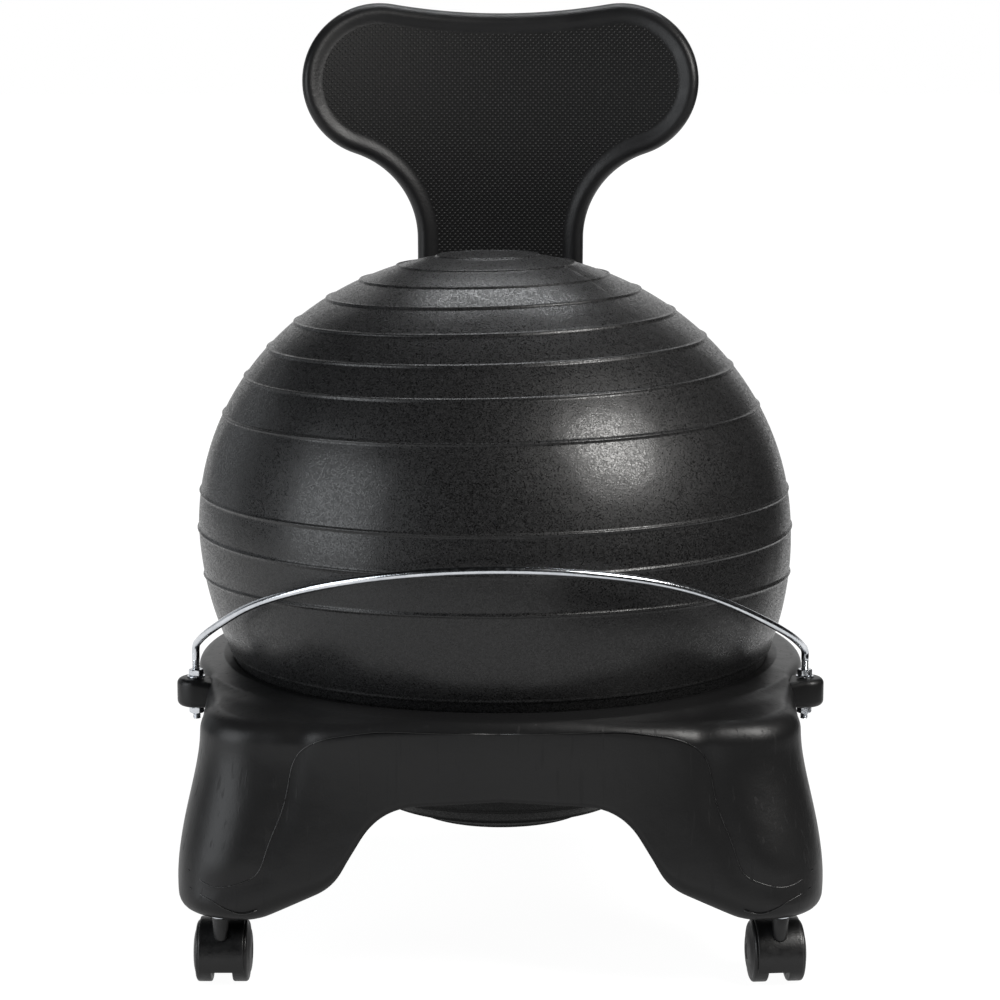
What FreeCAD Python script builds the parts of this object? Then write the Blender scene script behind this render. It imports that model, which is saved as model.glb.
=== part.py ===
"""Balance ball chair: an air-filled exercise ball on a blow-moulded base with four legs,
a bolted backrest, a bent steel rod that keeps the ball in place and four twin-wheel casters.

The frame: +Z is up, -Y is the front, and the origin is on the floor below the ball's axis.
Lengths are millimetres and angles are degrees."""

import FreeCAD, Part
import math
import os

import Sketcher
from FreeCAD import Placement, Rotation, Vector

# Driving dimensions. Each one becomes a cell of the spreadsheet "Sizes" under its own name.
SIZES = {
    # ball
    "ball_radius": 256.0,
    "ball_centre_rise": 116.0,
    "ball_top_rise": 238.0,
    "ball_bottom_drop": 263.0,
    "ball_wall": 1.4,
    "ridge_proud": 1.3,
    "ridge_half_width": 2.0,
    "ridge_first_angle": 9.7,
    "ridge_step_angle": 7.7,
    "ridge_close_count": 7,
    "ridge_shoulder_angle": 65.6,
    "ridge_band_angle": 80.5,
    "valve_hole_radius": 4.5,
    # ball plug
    "plug_clearance": 0.05,
    "plug_head_radius": 8.0,
    "plug_head_height": 2.0,
    "plug_stem_length": 14.0,
    "plug_taper": 0.8,
    # base
    "base_wall": 4.0,
    "foot_height": 64.0,
    "foot_inset": 12.0,
    "foot_bow": 1.0,
    "foot_corner": 34.0,
    "foot_round": 14.0,
    "hip_rise": 52.0,
    "hip_inset": 4.0,
    "hip_bow": 2.0,
    "hip_corner": 62.0,
    "waist_rise": 44.0,
    "waist_inset": 14.5,
    "waist_bow": 9.0,
    "waist_corner": 62.0,
    "shoulder_drop": 13.0,
    "shoulder_inset": 24.0,
    "shoulder_bow": 26.0,
    "shoulder_corner": 58.0,
    "shoulder_round": 16.0,
    "ring_top_height": 226.0,
    "ring_margin": 6.0,
    "ring_outer_round": 13.0,
    "ring_depth": 30.0,
    "ring_slope": 20.0,
    "ring_undercut": 19.0,
    "rim_margin": 15.0,
    "well_step": 2.0,
    "well_drop": 36.0,
    "seat_drop": 15.0,
    "seat_half_length": 5.0,
    "seat_clearance": 0.3,
    "lip_drop": 7.0,
    "arch_crown_drop": 62.0,
    "arch_shoulder_drop": 6.0,
    "arch_knee_rise": 29.0,
    "leg_width": 46.0,
    "arch_knee_step": 67.0,
    "arch_shoulder_step": 40.0,
    "arch_crown_round": 45.0,
    "arch_knee_round": 30.0,
    # lugs for the rod
    "lug_inset": 6.0,
    "lug_forward": 100.0,
    "lug_radius": 16.0,
    "lug_rise": 3.0,
    "lug_depth": 24.0,
    "lug_root_depth": 40.0,
    "lug_round": 4.0,
    # retaining rod
    "rod_radius": 3.2,
    "rod_corner_rise": 33.0,
    "rod_bend_radius": 11.0,
    "rod_straight": 15.0,
    "rod_apex_rise": 92.0,
    "rod_standoff": 19.0,
    "rod_tail": 5.0,
    "rod_hole_clearance": 0.3,
    "nut_circumradius": 6.4,
    "nut_height": 5.5,
    "thread_clearance": 0.05,
    "rod_washer_radius": 7.5,
    "rod_washer_thickness": 1.2,
    # backrest
    "back_standoff": 10.6,
    "back_foot_drop": 32.0,
    "back_straight_rise": 123.0,
    "back_lower_bend": 400.0,
    "back_lean_angle": 9.0,
    "back_lean_rise": 255.0,
    "back_upper_bend": 500.0,
    "back_plan_radius": 620.0,
    "back_thickness": 24.0,
    "back_wall": 3.5,
    "back_edge_round": 9.0,
    "neck_half_width": 78.0,
    "neck_foot_round": 26.0,
    "neck_fillet_radius": 84.0,
    "lobe_reach": 112.0,
    "lobe_rise": 119.0,
    "lobe_radius": 71.0,
    "saddle_drop": 9.3,
    "panel_inset": 17.0,
    "panel_depth": 1.2,
    # backrest fixings
    "bolt_spacing_x": 92.0,
    "bolt_spacing_z": 32.0,
    "bolt_drop": 26.0,
    "bolt_radius": 4.0,
    "bolt_length": 42.0,
    "bolt_head_radius": 7.5,
    "bolt_head_height": 5.0,
    "bolt_socket_radius": 3.0,
    "bolt_socket_depth": 3.0,
    "bolt_seat_depth": 3.2,
    "bolt_hole_clearance": 0.3,
    "bolt_boss_radius": 13.0,
    "back_washer_radius": 9.5,
    "back_washer_thickness": 1.6,
    "insert_radius": 6.5,
    "insert_length": 18.0,
    "insert_recess": 3.0,
    "fixed_fit": 0.05,
    "pad_half_width": 66.0,
    "pad_top_drop": 4.0,
    "pad_rise": 2.0,
    "pad_root_depth": 37.0,
    # casters
    "caster_inset": 24.0,
    "front_right_turn": 5.0,
    "caster_trail": 20.0,
    "wheel_radius": 25.0,
    "wheel_inner_face": 8.5,
    "wheel_tread_width": 11.5,
    "wheel_dome": 3.4,
    "wheel_dome_radius": 14.0,
    "wheel_edge": 1.5,
    "wheel_bore_depth": 11.0,
    "axle_radius": 3.0,
    "axle_end_gap": 0.4,
    "running_clearance": 0.05,
    "hood_gap": 1.4,
    "hood_wall": 1.6,
    "hood_half_width": 18.4,
    "web_gap": 0.9,
    "hood_mouth_height": 14.5,
    "stem_tube_radius": 7.0,
    "stem_tube_gap": 4.0,
    "stem_tube_foot": 34.0,
    "pintle_radius": 4.0,
    "pintle_depth": 16.0,
    "stem_radius": 5.5,
    "stem_rise": 38.0,
    "stem_tip": 1.5,
    "collar_radius": 7.0,
    "grip_ring_height": 28.0,
    "grip_ring_depth": 4.0,
    "grip_groove": 0.9,
    "grip_proud": 0.4,
    "grip_clearance": 0.1,
    "socket_radius": 8.5,
    "socket_flange_radius": 9.5,
    "socket_flange": 1.2,
    "socket_rise": 44.0,
    "socket_end_wall": 2.0,
    "socket_boss_radius": 13.0,
    "seat_gap": 0.3,
    # wheel brakes on the rear casters
    "brake_pivot_radius": 20.5,
    "brake_pivot_angle": 55.0,
    "brake_hub_radius": 3.6,
    "brake_pin_radius": 1.5,
    "brake_arm_half_width": 5.0,
    "brake_arm_thickness": 4.4,
    "brake_pedal_half_width": 13.0,
    "brake_pedal_gap": 1.2,
    "brake_pedal_length": 11.8,
    "brake_slot_gap": 0.7,
    "brake_throw": 12.0,
}

# Sizes that follow from the ones above. Each one is a formula in a cell of the same sheet.
TIED = {
    # base: its ring goes round the ball, and its legs and arches follow the ring
    "ball_centre_height": "ring_top_height + ball_centre_rise",
    "ring_outer_radius": "ball_radius + ring_margin",
    "ring_bottom_height": "ring_top_height - ring_depth",
    "ring_skirt_height": "ring_bottom_height - ring_slope",
    "ring_skirt_radius": "ring_outer_radius - ring_undercut",
    "rim_inner_radius": "ball_radius - rim_margin",
    "well_radius": "rim_inner_radius - well_step",
    "well_top_height": "ring_top_height - well_drop",
    "seat_height": "ring_top_height - seat_drop",
    "foot_half_width": "ring_outer_radius - foot_inset",
    "hip_height": "foot_height + hip_rise",
    "hip_half_width": "ring_outer_radius - hip_inset",
    "waist_height": "hip_height + waist_rise",
    "waist_half_width": "ring_outer_radius - waist_inset",
    "shoulder_height": "ring_top_height - shoulder_drop",
    "shoulder_half_width": "ring_outer_radius - shoulder_inset",
    "arch_crown_height": "ring_top_height - arch_crown_drop",
    "arch_shoulder_height": "arch_crown_height - arch_shoulder_drop",
    "arch_knee_height": "foot_height + arch_knee_rise",
    "arch_foot_half_width": "foot_half_width - leg_width",
    "arch_knee_half_width": "arch_foot_half_width - arch_knee_step",
    "arch_shoulder_half_width": "arch_knee_half_width - arch_shoulder_step",
    # lugs and rod: beside the ring, and clear of the ball
    "lug_reach": "ring_outer_radius - lug_inset",
    "lug_root": "ring_outer_radius - lug_root_depth",
    "lug_top_height": "ring_top_height + lug_rise",
    "rod_corner_height": "lug_top_height + rod_corner_rise",
    "rod_apex_height": "rod_corner_height + rod_apex_rise",
    "rod_apex_forward": "ball_radius + rod_standoff",
    # backrest: behind the ring, and up from its pad
    "back_face": "ring_outer_radius + back_standoff",
    "pad_root": "ring_outer_radius - pad_root_depth",
    "pad_top_height": "ring_top_height - pad_top_drop",
    "bolt_centre_height": "pad_top_height - bolt_drop",
    "back_foot_height": "bolt_centre_height - back_foot_drop",
    "back_straight_top": "pad_top_height + back_straight_rise",
    "back_lean_top": "back_straight_top + back_lean_rise",
    "lobe_height": "back_lean_top + lobe_rise",
    "saddle_height": "lobe_height + lobe_radius - saddle_drop",
    # casters: under the feet, each hood round its wheels
    "caster_reach": "foot_half_width - caster_inset",
    "hood_radius": "wheel_radius + hood_gap + hood_wall",
    "hood_web_half_width": "wheel_inner_face - web_gap",
    "stem_tube_top": "foot_height - stem_tube_gap",
    "brake_pedal_start": "hood_radius + brake_pedal_gap",
    "brake_pedal_end": "brake_pedal_start + brake_pedal_length",
}

DOCUMENT = FreeCAD.newDocument("BalanceBallChair")
NODES = []


def fill_sheet():
    """Write the sizes into the spreadsheet, one aliased cell each."""
    sheet = DOCUMENT.addObject("Spreadsheet::Sheet", "Sizes")
    formulas = {alias: f"={text}" for alias, text in TIED.items()}
    for row, (alias, content) in enumerate({**SIZES, **formulas}.items(), start=1):
        sheet.set(f"A{row}", alias)
        sheet.set(f"B{row}", str(content))
        sheet.setAlias(f"B{row}", alias)
    DOCUMENT.recompute()
    return sheet


SHEET = fill_sheet()


def size(alias):
    """The number that the sheet holds under this name."""
    return float(getattr(SHEET, alias))


# Lengths are often sums of products of names, such as "hood_radius + 2 * hood_wall".
def expression(text):
    """The same sum with each name pointing at its cell in the sheet."""
    words = [f"Sizes.{word}" if word in SIZES or word in TIED else word for word in text.split()]
    return " ".join(words)


def value(text):
    """What such a sum comes to."""
    total = 0.0
    sign = 1.0
    product = None
    for word in text.split() + ["+"]:
        if word in ("+", "-"):
            if product is not None:
                total += sign * product
            sign = 1.0 if word == "+" else -1.0
            product = None
        elif word != "*":
            number = size(word) if word in SIZES or word in TIED else float(word)
            product = number if product is None else product * number
    return total


def publish(part, label):
    """Make this object a sub-part of the chair: its label names its file."""
    part.Label = label
    NODES.append(part)
    return part


def solid_feature(label, shape):
    """A sub-part whose shape is worked out by a function of its own."""
    part = DOCUMENT.addObject("Part::Feature", label)
    part.Shape = shape
    part.Placement = Placement()
    return publish(part, label)


# Part primitives with every size tied to the sheet.
AXIS_TURN = {
    "X": Rotation(Vector(0, 1, 0), 90),
    "Y": Rotation(Vector(1, 0, 0), -90),
    "Z": Rotation(),
}


def tie_place(part, place, axis="Z"):
    """Put a primitive at place, three sums for x, y and z, with its own Z along axis."""
    part.Placement = Placement(Vector(*[value(text) for text in place]), AXIS_TURN[axis])
    for letter, text in zip("xyz", place):
        part.setExpression(f"Placement.Base.{letter}", expression(text))


def cylinder(name, radius, height, place, axis="Z"):
    """A round bar from place along axis."""
    part = DOCUMENT.addObject("Part::Cylinder", name)
    part.setExpression("Radius", expression(radius))
    part.setExpression("Height", expression(height))
    tie_place(part, place, axis)
    return part


def hexagon(name, circumradius, height, place, axis="Z"):
    """A hexagonal bar from place along axis."""
    part = DOCUMENT.addObject("Part::Prism", name)
    part.Polygon = 6
    part.setExpression("Circumradius", expression(circumradius))
    part.setExpression("Height", expression(height))
    tie_place(part, place, axis)
    return part


def block(name, lengths, place):
    """A box with its lowest corner at place."""
    part = DOCUMENT.addObject("Part::Box", name)
    for side, text in zip(("Length", "Width", "Height"), lengths):
        part.setExpression(side, expression(text))
    tie_place(part, place)
    return part


def joined(name, pieces):
    """The union of several objects."""
    part = DOCUMENT.addObject("Part::MultiFuse", name)
    part.Shapes = pieces
    return part


def cut_away(name, base, tool):
    """One object with another taken away."""
    part = DOCUMENT.addObject("Part::Cut", name)
    part.Base = base
    part.Tool = tool
    return part


def group(label, pieces):
    """Identical fasteners as one sub-part of separate solids."""
    part = DOCUMENT.addObject("Part::Compound", label)
    part.Links = pieces
    return publish(part, label)


# Turned pieces are bodies whose outline is spun about their own Z axis.
def tie_vertex(sketch, number, point):
    """Hold the start of line number at point, a pair of sums for radius and height."""
    origin, axis_across, axis_up = -1, -1, -2
    for kind, axis_line, text in (("DistanceX", axis_up, point[0]), ("DistanceY", axis_across, point[1])):
        if text == "0":
            sketch.addConstraint(Sketcher.Constraint("PointOnObject", number, 1, axis_line))
            continue
        held = Sketcher.Constraint(kind, origin, 1, number, 1, value(text))
        index = sketch.addConstraint(held)
        sketch.setExpression(f"Constraints[{index}]", expression(text))


def outline_sketch(body, name, points):
    """A closed outline of straight lines through points, on the body's own XZ plane."""
    sketch = body.newObject("Sketcher::SketchObject", name)
    plane = [feature for feature in body.Origin.OriginFeatures if feature.Role == "XZ_Plane"][0]
    sketch.AttachmentSupport = [(plane, "")]
    sketch.MapMode = "FlatFace"
    corners = [Vector(value(across), value(up), 0) for across, up in points]
    count = len(corners)
    for number in range(count):
        sketch.addGeometry(Part.LineSegment(corners[number], corners[(number + 1) % count]), False)
    for number in range(count):
        following = (number + 1) % count
        sketch.addConstraint(Sketcher.Constraint("Coincident", number, 2, following, 1))
    for number, point in enumerate(points):
        tie_vertex(sketch, number, point)
    return sketch


def turned_body(label, points, place=Placement()):
    """A turned piece: its outline of radius and height spun about Z, then placed."""
    body = DOCUMENT.addObject("PartDesign::Body", label)
    sketch = outline_sketch(body, label + "_outline", points)
    spin = body.newObject("PartDesign::Revolution", label + "_spin")
    spin.Profile = sketch
    spin.ReferenceAxis = (sketch, ["V_Axis"])
    spin.Angle = 360
    body.Placement = place
    return publish(body, label)


# Outlines and solids for the moulded shapes.
def rounded_wire(corners, rounds):
    """A closed outline through corners, with a tangent arc of the given radius at each."""
    count = len(corners)
    arcs = []
    for number, here in enumerate(corners):
        radius = rounds[number]
        if radius == 0:
            arcs.append((here, None, here))
            continue
        back = (corners[number - 1] - here).normalize()
        ahead = (corners[(number + 1) % count] - here).normalize()
        half_turn = back.getAngle(ahead) / 2
        inward = (back + ahead).normalize()
        reach = radius / math.tan(half_turn)
        middle = here + inward * (radius / math.sin(half_turn) - radius)
        arcs.append((here + back * reach, middle, here + ahead * reach))
    edges = []
    for number, (start, middle, stop) in enumerate(arcs):
        if middle is not None:
            edges.append(Part.Arc(start, middle, stop).toShape())
        edges.append(Part.LineSegment(stop, arcs[(number + 1) % count][0]).toShape())
    return Part.Wire(edges)


def spun(wire):
    """A closed outline in the XZ plane spun about the Z axis."""
    return Part.Face(wire).revolve(Vector(0, 0, 0), Vector(0, 0, 1), 360)


def upright(radius, low, high, across=0.0, along=0.0):
    """An upright round bar from low to high."""
    return Part.makeCylinder(radius, high - low, Vector(across, along, low))


def lying(radius, near, far, across, up):
    """A round bar along Y from near to far."""
    return Part.makeCylinder(radius, far - near, Vector(across, near, up), Vector(0, 1, 0))


def edges_at_height(shape, height):
    """The edges that lie in the level plane at this height."""
    slack = 1e-4
    level = []
    for edge in shape.Edges:
        box = edge.BoundBox
        if abs(box.ZMin - height) < slack and abs(box.ZMax - height) < slack:
            level.append(edge)
    return level


def polar(radius, angle):
    """Radius and height of a point at this angle from straight up."""
    turn = math.radians(angle)
    return radius * math.sin(turn), radius * math.cos(turn)


# The ball: two half ellipsoids that meet at its widest ring.
def ball_point(angle, proud=0.0):
    """A point of the ball's outline at this angle from the top, stood proud of the skin."""
    across, up = polar(1.0, angle)
    rise = size("ball_top_rise") if up > 0 else size("ball_bottom_drop")
    radius = size("ball_radius") + proud
    return Vector(radius * across, 0, size("ball_centre_height") + (rise + proud) * up)


def ball_arc(start, stop, proud=0.0):
    """The outline between two angles."""
    middle = (start + stop) / 2
    points = [ball_point(angle, proud) for angle in (start, middle, stop)]
    return Part.Arc(*points).toShape()


def ridge_angles():
    """Where the ridges lie, from the top of the ball to its bottom."""
    first = size("ridge_first_angle")
    step = size("ridge_step_angle")
    upper = [first + step * number for number in range(int(size("ridge_close_count")))]
    upper += [size("ridge_shoulder_angle"), size("ridge_band_angle")]
    lower = [180 - angle for angle in reversed(upper)]
    return upper + [90.0] + lower


def ball_skin():
    """The hollow skin, with its ridges and the valve hole at the bottom."""
    half = math.degrees(size("ridge_half_width") / size("ball_radius"))
    wall = size("ball_wall")
    edges = []
    reached = 0.0
    for angle in ridge_angles():
        edges.append(ball_arc(reached, angle - half))
        crest = ball_point(angle, size("ridge_proud"))
        ridge = Part.Arc(ball_point(angle - half), crest, ball_point(angle + half))
        edges.append(ridge.toShape())
        reached = angle + half
    edges.append(ball_arc(reached, 180.0))
    spans = 8
    step = 180.0 / spans
    inside = [ball_arc(step * number, step * (number + 1), -wall) for number in range(spans)]
    edges.append(Part.LineSegment(ball_point(180), ball_point(180, -wall)).toShape())
    edges += reversed(inside)
    edges.append(Part.LineSegment(ball_point(0, -wall), ball_point(0)).toShape())
    skin = spun(Part.Wire(Part.__sortEdges__(edges)))
    bottom = ball_point(180).z
    hole = upright(size("valve_hole_radius"), bottom - wall, bottom + 2 * wall)
    return skin.cut(hole)


def ball_pieces():
    """The ball and the plug that keeps its air in."""
    solid_feature("exercise_ball", ball_skin())
    stem = "valve_hole_radius - plug_clearance"
    tip = "valve_hole_radius - plug_clearance - plug_taper"
    outline = [
        ("0", "0"),
        (tip, "0"),
        (stem, "plug_stem_length"),
        (stem, "plug_stem_length + seat_gap"),
        ("plug_head_radius", "plug_stem_length + seat_gap"),
        ("plug_head_radius", "plug_stem_length + seat_gap + plug_head_height"),
        ("0", "plug_stem_length + seat_gap + plug_head_height"),
    ]
    skin_bottom = value("ball_centre_height - ball_bottom_drop")
    start = Vector(0, 0, skin_bottom + size("plug_stem_length"))
    turned_body("ball_valve_plug", outline, Placement(start, Rotation(Vector(1, 0, 0), 180)))


# The base: a skirt with four legs, a ring that carries the ball, two lugs and a pad.
def skirt_section(level, inset):
    """One level outline of the skirt: straight sides, bowed front and back, round corners."""
    side = size(level + "_half_width") - inset
    front = side + size(level + "_bow")
    corner = max(size(level + "_corner") - inset, 1.0)
    inner = side - corner
    bow = size(level + "_bow")
    bow_radius = (inner * inner + bow * bow) / (2 * bow) + corner
    bow_centre = bow_radius - front
    corner_y = bow_centre - math.sqrt((bow_radius - corner) ** 2 - inner * inner)
    outward = Vector(inner, corner_y - bow_centre, 0).normalize()
    touch = Vector(0, bow_centre, 0) + outward * bow_radius
    slant = (outward + Vector(1, 0, 0)).normalize()
    middle = Vector(inner, corner_y, 0) + slant * corner
    side_end = Vector(side, corner_y, 0)
    quarter = [touch, middle, side_end]

    def placed(point, across, along):
        return Vector(point.x * across, point.y * along, 0)

    edges = []
    turns = ((1, 1), (1, -1), (-1, -1), (-1, 1))
    for number, (across, along) in enumerate(turns):
        points = [placed(point, across, along) for point in quarter]
        if across != along:
            points.reverse()
        edges.append(Part.Arc(*points).toShape())
        next_across, next_along = turns[(number + 1) % 4]
        following = [placed(point, next_across, next_along) for point in quarter]
        if next_across != next_along:
            following.reverse()
        if next_across == across:
            edges.append(Part.LineSegment(points[-1], following[0]).toShape())
        else:
            crest = Vector(0, -front * next_along, 0)
            edges.append(Part.Arc(points[-1], crest, following[0]).toShape())
    return Part.Wire(edges)


def skirt(inset):
    """The outer form of the skirt and legs, drawn in on every side by inset."""
    levels = ("foot", "hip", "waist", "shoulder")
    heights = [size(level + "_height") for level in levels]
    heights[0] += inset
    heights[-1] -= inset
    wires = []
    for level, height in zip(levels, heights):
        wire = skirt_section(level, inset)
        wire.translate(Vector(0, 0, height))
        wires.append(wire)
    form = Part.makeLoft(wires, True, False)
    form = form.makeFillet(size("shoulder_round") - inset, edges_at_height(form, heights[-1]))
    return form.makeFillet(size("foot_round") - inset, edges_at_height(form, heights[0]))


def seat_edge(along):
    """A point of the cone that carries the ball, this far along it from the touching ring."""
    drop = size("ball_centre_height") - size("seat_height")
    share = drop / size("ball_bottom_drop")
    radius = size("ball_radius") * math.sqrt(1 - share * share)
    normal = Vector(radius / size("ball_radius") ** 2, 0, -drop / size("ball_bottom_drop") ** 2)
    normal.normalize()
    tangent = Vector(-normal.z, 0, normal.x)
    touch = Vector(radius, 0, size("seat_height"))
    return touch + normal * size("seat_clearance") + tangent * along


def well():
    """The room inside the base that the ball hangs in, with its funnel and seat."""
    low = size("foot_height") - size("foot_round")
    high = size("lug_top_height") + size("lug_round")
    rim = size("rim_inner_radius")
    seat_low = seat_edge(-size("seat_half_length"))
    seat_high = seat_edge(size("seat_half_length"))
    corners = [
        Vector(0, 0, low),
        Vector(size("well_radius"), 0, low),
        Vector(size("well_radius"), 0, size("well_top_height")),
        seat_low + Vector(size("seat_half_length"), 0, -size("lip_drop")),
        seat_low,
        seat_high,
        Vector(rim, 0, size("ring_top_height")),
        Vector(rim, 0, high),
        Vector(0, 0, high),
    ]
    return spun(Part.makePolygon(corners + corners[:1]))


def ring():
    """The ring round the top of the base, wider than the skirt between the legs."""
    inner = seat_edge(0).x - size("seat_half_length")
    outer = size("ring_outer_radius")
    corners = [
        Vector(inner, 0, size("ring_skirt_height")),
        Vector(size("ring_skirt_radius"), 0, size("ring_skirt_height")),
        Vector(outer, 0, size("ring_bottom_height")),
        Vector(outer, 0, size("ring_top_height")),
        Vector(inner, 0, size("ring_top_height")),
    ]
    return spun(rounded_wire(corners, [0, 0, 0, size("ring_outer_round"), 0]))


def arch(grown):
    """The opening between two legs, seen from the front, grown on every side."""
    foot = size("arch_foot_half_width")
    knee = size("arch_knee_half_width")
    knee_height = size("arch_knee_height")
    shoulder = size("arch_shoulder_half_width")
    slope = (knee_height - size("foot_height")) / (foot - knee)
    spread = size("base_wall") + size("foot_round")
    low = size("foot_height") - slope * spread
    floor = low - spread
    half = [
        (foot + spread, floor, 0),
        (foot + spread, low, 0),
        (knee, knee_height, size("arch_knee_round")),
        (shoulder, size("arch_shoulder_height"), size("arch_crown_round")),
    ]
    crown = [(0.0, size("arch_crown_height"), 0)]
    mirrored = [(-across, up, radius) for across, up, radius in reversed(half)]
    points = half + crown + mirrored
    corners = [Vector(across, 0, up) for across, up, _ in points]
    wire = rounded_wire(corners, [radius for _, _, radius in points])
    if grown > 0:
        wire = wire.makeOffset2D(grown)
    reach = size("ring_outer_radius") + size("lug_radius")
    face = Part.Face(wire)
    face.translate(Vector(0, -reach, 0))
    return face.extrude(Vector(0, 2 * reach, 0))


def arches(grown):
    """The four openings between the legs: one passage along each level axis."""
    across = arch(grown)
    along = across.copy()
    along.rotate(Vector(0, 0, 0), Vector(0, 0, 1), 90)
    return across.fuse(along)


def lug(side):
    """The ear that holds one end of the rod, on the side +1 or -1."""
    low = size("lug_top_height") - size("lug_depth")
    radius = size("lug_radius")
    root = size("lug_root")
    reach = size("lug_reach")
    forward = size("lug_forward")
    corner = Vector(min(side * root, side * reach), -forward - radius, low)
    bar = Part.makeBox(reach - root, 2 * radius, size("lug_depth"), corner)
    ear = bar.fuse(upright(radius, low, size("lug_top_height"), side * reach, -forward))
    ear = ear.removeSplitter()
    rims = edges_at_height(ear, low) + edges_at_height(ear, size("lug_top_height"))
    outer = [edge for edge in rims if abs(edge.BoundBox.Center.x) > root + radius / 10]
    return ear.makeFillet(size("lug_round"), outer)


def back_pad():
    """The pad at the rear of the base that the backrest's neck seats on."""
    half = size("pad_half_width")
    low = size("arch_crown_height") + size("pad_rise")
    high = size("pad_top_height")
    radius = size("back_plan_radius")
    centre = size("back_face") - radius
    start = size("pad_root")
    bar = Part.makeBox(2 * half, size("back_face") - start, high - low, Vector(-half, start, low))
    hollow = upright(radius, low, high, 0, centre)
    return bar.common(hollow)


def bolt_places():
    """The four bolts' places across and up."""
    half_x = size("bolt_spacing_x") / 2
    half_z = size("bolt_spacing_z") / 2
    middle = size("bolt_centre_height")
    return [(x, middle + z) for z in (half_z, -half_z) for x in (-half_x, half_x)]


def insert_start():
    """How far back the threaded inserts begin."""
    return size("back_face") - size("insert_recess") - size("insert_length")


def caster_places():
    """Each caster's name, place across and along, and turn about its stem."""
    reach = size("caster_reach")
    turned = size("front_right_turn")
    return [
        ("front_left", -reach, -reach, 0.0),
        ("front_right", reach, -reach, turned),
        ("rear_left", -reach, reach, 0.0),
        ("rear_right", reach, reach, 0.0),
    ]


def base_frame():
    """The one-piece hollow base."""
    wall = size("base_wall")
    foot = size("foot_height")
    socket_top = foot + size("socket_rise") + size("socket_end_wall")
    pad = back_pad()
    body = skirt(0).fuse([ring(), lug(1), lug(-1), pad])
    body = body.cut([well(), arches(0)])
    hollow = skirt(wall)
    solid_core = upright(size("well_radius") + wall, 0, size("shoulder_height"))
    top_block = upright(size("ring_outer_radius"), size("well_top_height") - wall, size("lug_top_height"))
    hollow = hollow.cut([solid_core, top_block, arches(wall), pad])
    fit = size("fixed_fit")
    holes = []
    for _, x, y, _ in caster_places():
        hollow = hollow.cut(upright(size("socket_boss_radius"), foot, socket_top + wall, x, y))
        holes.append(upright(size("socket_radius") + fit, foot, socket_top, x, y))
    for side in (1, -1):
        radius = size("rod_radius") + size("rod_hole_clearance")
        low = size("lug_top_height") - size("lug_depth")
        holes.append(upright(radius, low, size("lug_top_height"), side * size("lug_reach"), -size("lug_forward")))
    for x, z in bolt_places():
        holes.append(lying(size("insert_radius") + fit, insert_start(), size("back_face"), x, z))
    solid_feature("base_frame", body.cut(hollow).cut(holes))


# The backrest: a T-shaped panel cut out of a slab that is curved both ways.
def back_outline(inset):
    """The T outline seen from the front, drawn in by inset."""
    neck = size("neck_half_width") - inset
    foot = size("back_foot_height") + inset
    lobe_x = size("lobe_reach")
    lobe_z = size("lobe_height")
    lobe = size("lobe_radius") - inset
    fillet = size("neck_fillet_radius") + inset
    fillet_x = neck + fillet
    apart = lobe + fillet
    fillet_z = lobe_z - math.sqrt(apart ** 2 - (fillet_x - lobe_x) ** 2)
    outward = Vector(fillet_x - lobe_x, 0, fillet_z - lobe_z).normalize()
    low_touch = Vector(lobe_x, 0, lobe_z) + outward * lobe
    gap = size("saddle_height") - lobe_z
    radius = size("lobe_radius")
    saddle = (lobe_x ** 2 + gap ** 2 - radius ** 2) / (2 * (radius - gap))
    saddle_z = lobe_z + gap + saddle
    saddle += inset
    upward = Vector(-lobe_x, 0, saddle_z - lobe_z).normalize()
    top_touch = Vector(lobe_x, 0, lobe_z) + upward * lobe
    tip = Vector(lobe_x + lobe, 0, lobe_z)
    hip = Vector(fillet_x, 0, fillet_z) - (outward + Vector(1, 0, 0)).normalize() * fillet
    round_foot = size("neck_foot_round") - inset
    shoulder = Vector(1, 0, -1).normalize() * round_foot
    foot_centre = Vector(neck - round_foot, 0, foot + round_foot)
    right = [
        (Vector(neck - round_foot, 0, foot), foot_centre + shoulder, Vector(neck, 0, foot + round_foot)),
        (Vector(neck, 0, foot + round_foot), None, Vector(neck, 0, fillet_z)),
        (Vector(neck, 0, fillet_z), hip, low_touch),
        (low_touch, tip, top_touch),
    ]
    edges = []
    for side in (1, -1):
        for run in right:
            ends = [Vector(side * point.x, 0, point.z) if point else None for point in run]
            if ends[1] is None:
                edges.append(Part.LineSegment(ends[0], ends[2]).toShape())
            else:
                edges.append(Part.Arc(*ends).toShape())
    left_touch = Vector(-top_touch.x, 0, top_touch.z)
    lowest = Vector(0, 0, saddle_z - saddle)
    edges.append(Part.Arc(top_touch, lowest, left_touch).toShape())
    left_foot = Vector(-right[0][0].x, 0, foot)
    edges.append(Part.LineSegment(right[0][0], left_foot).toShape())
    return Part.Wire(Part.__sortEdges__(edges))


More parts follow.
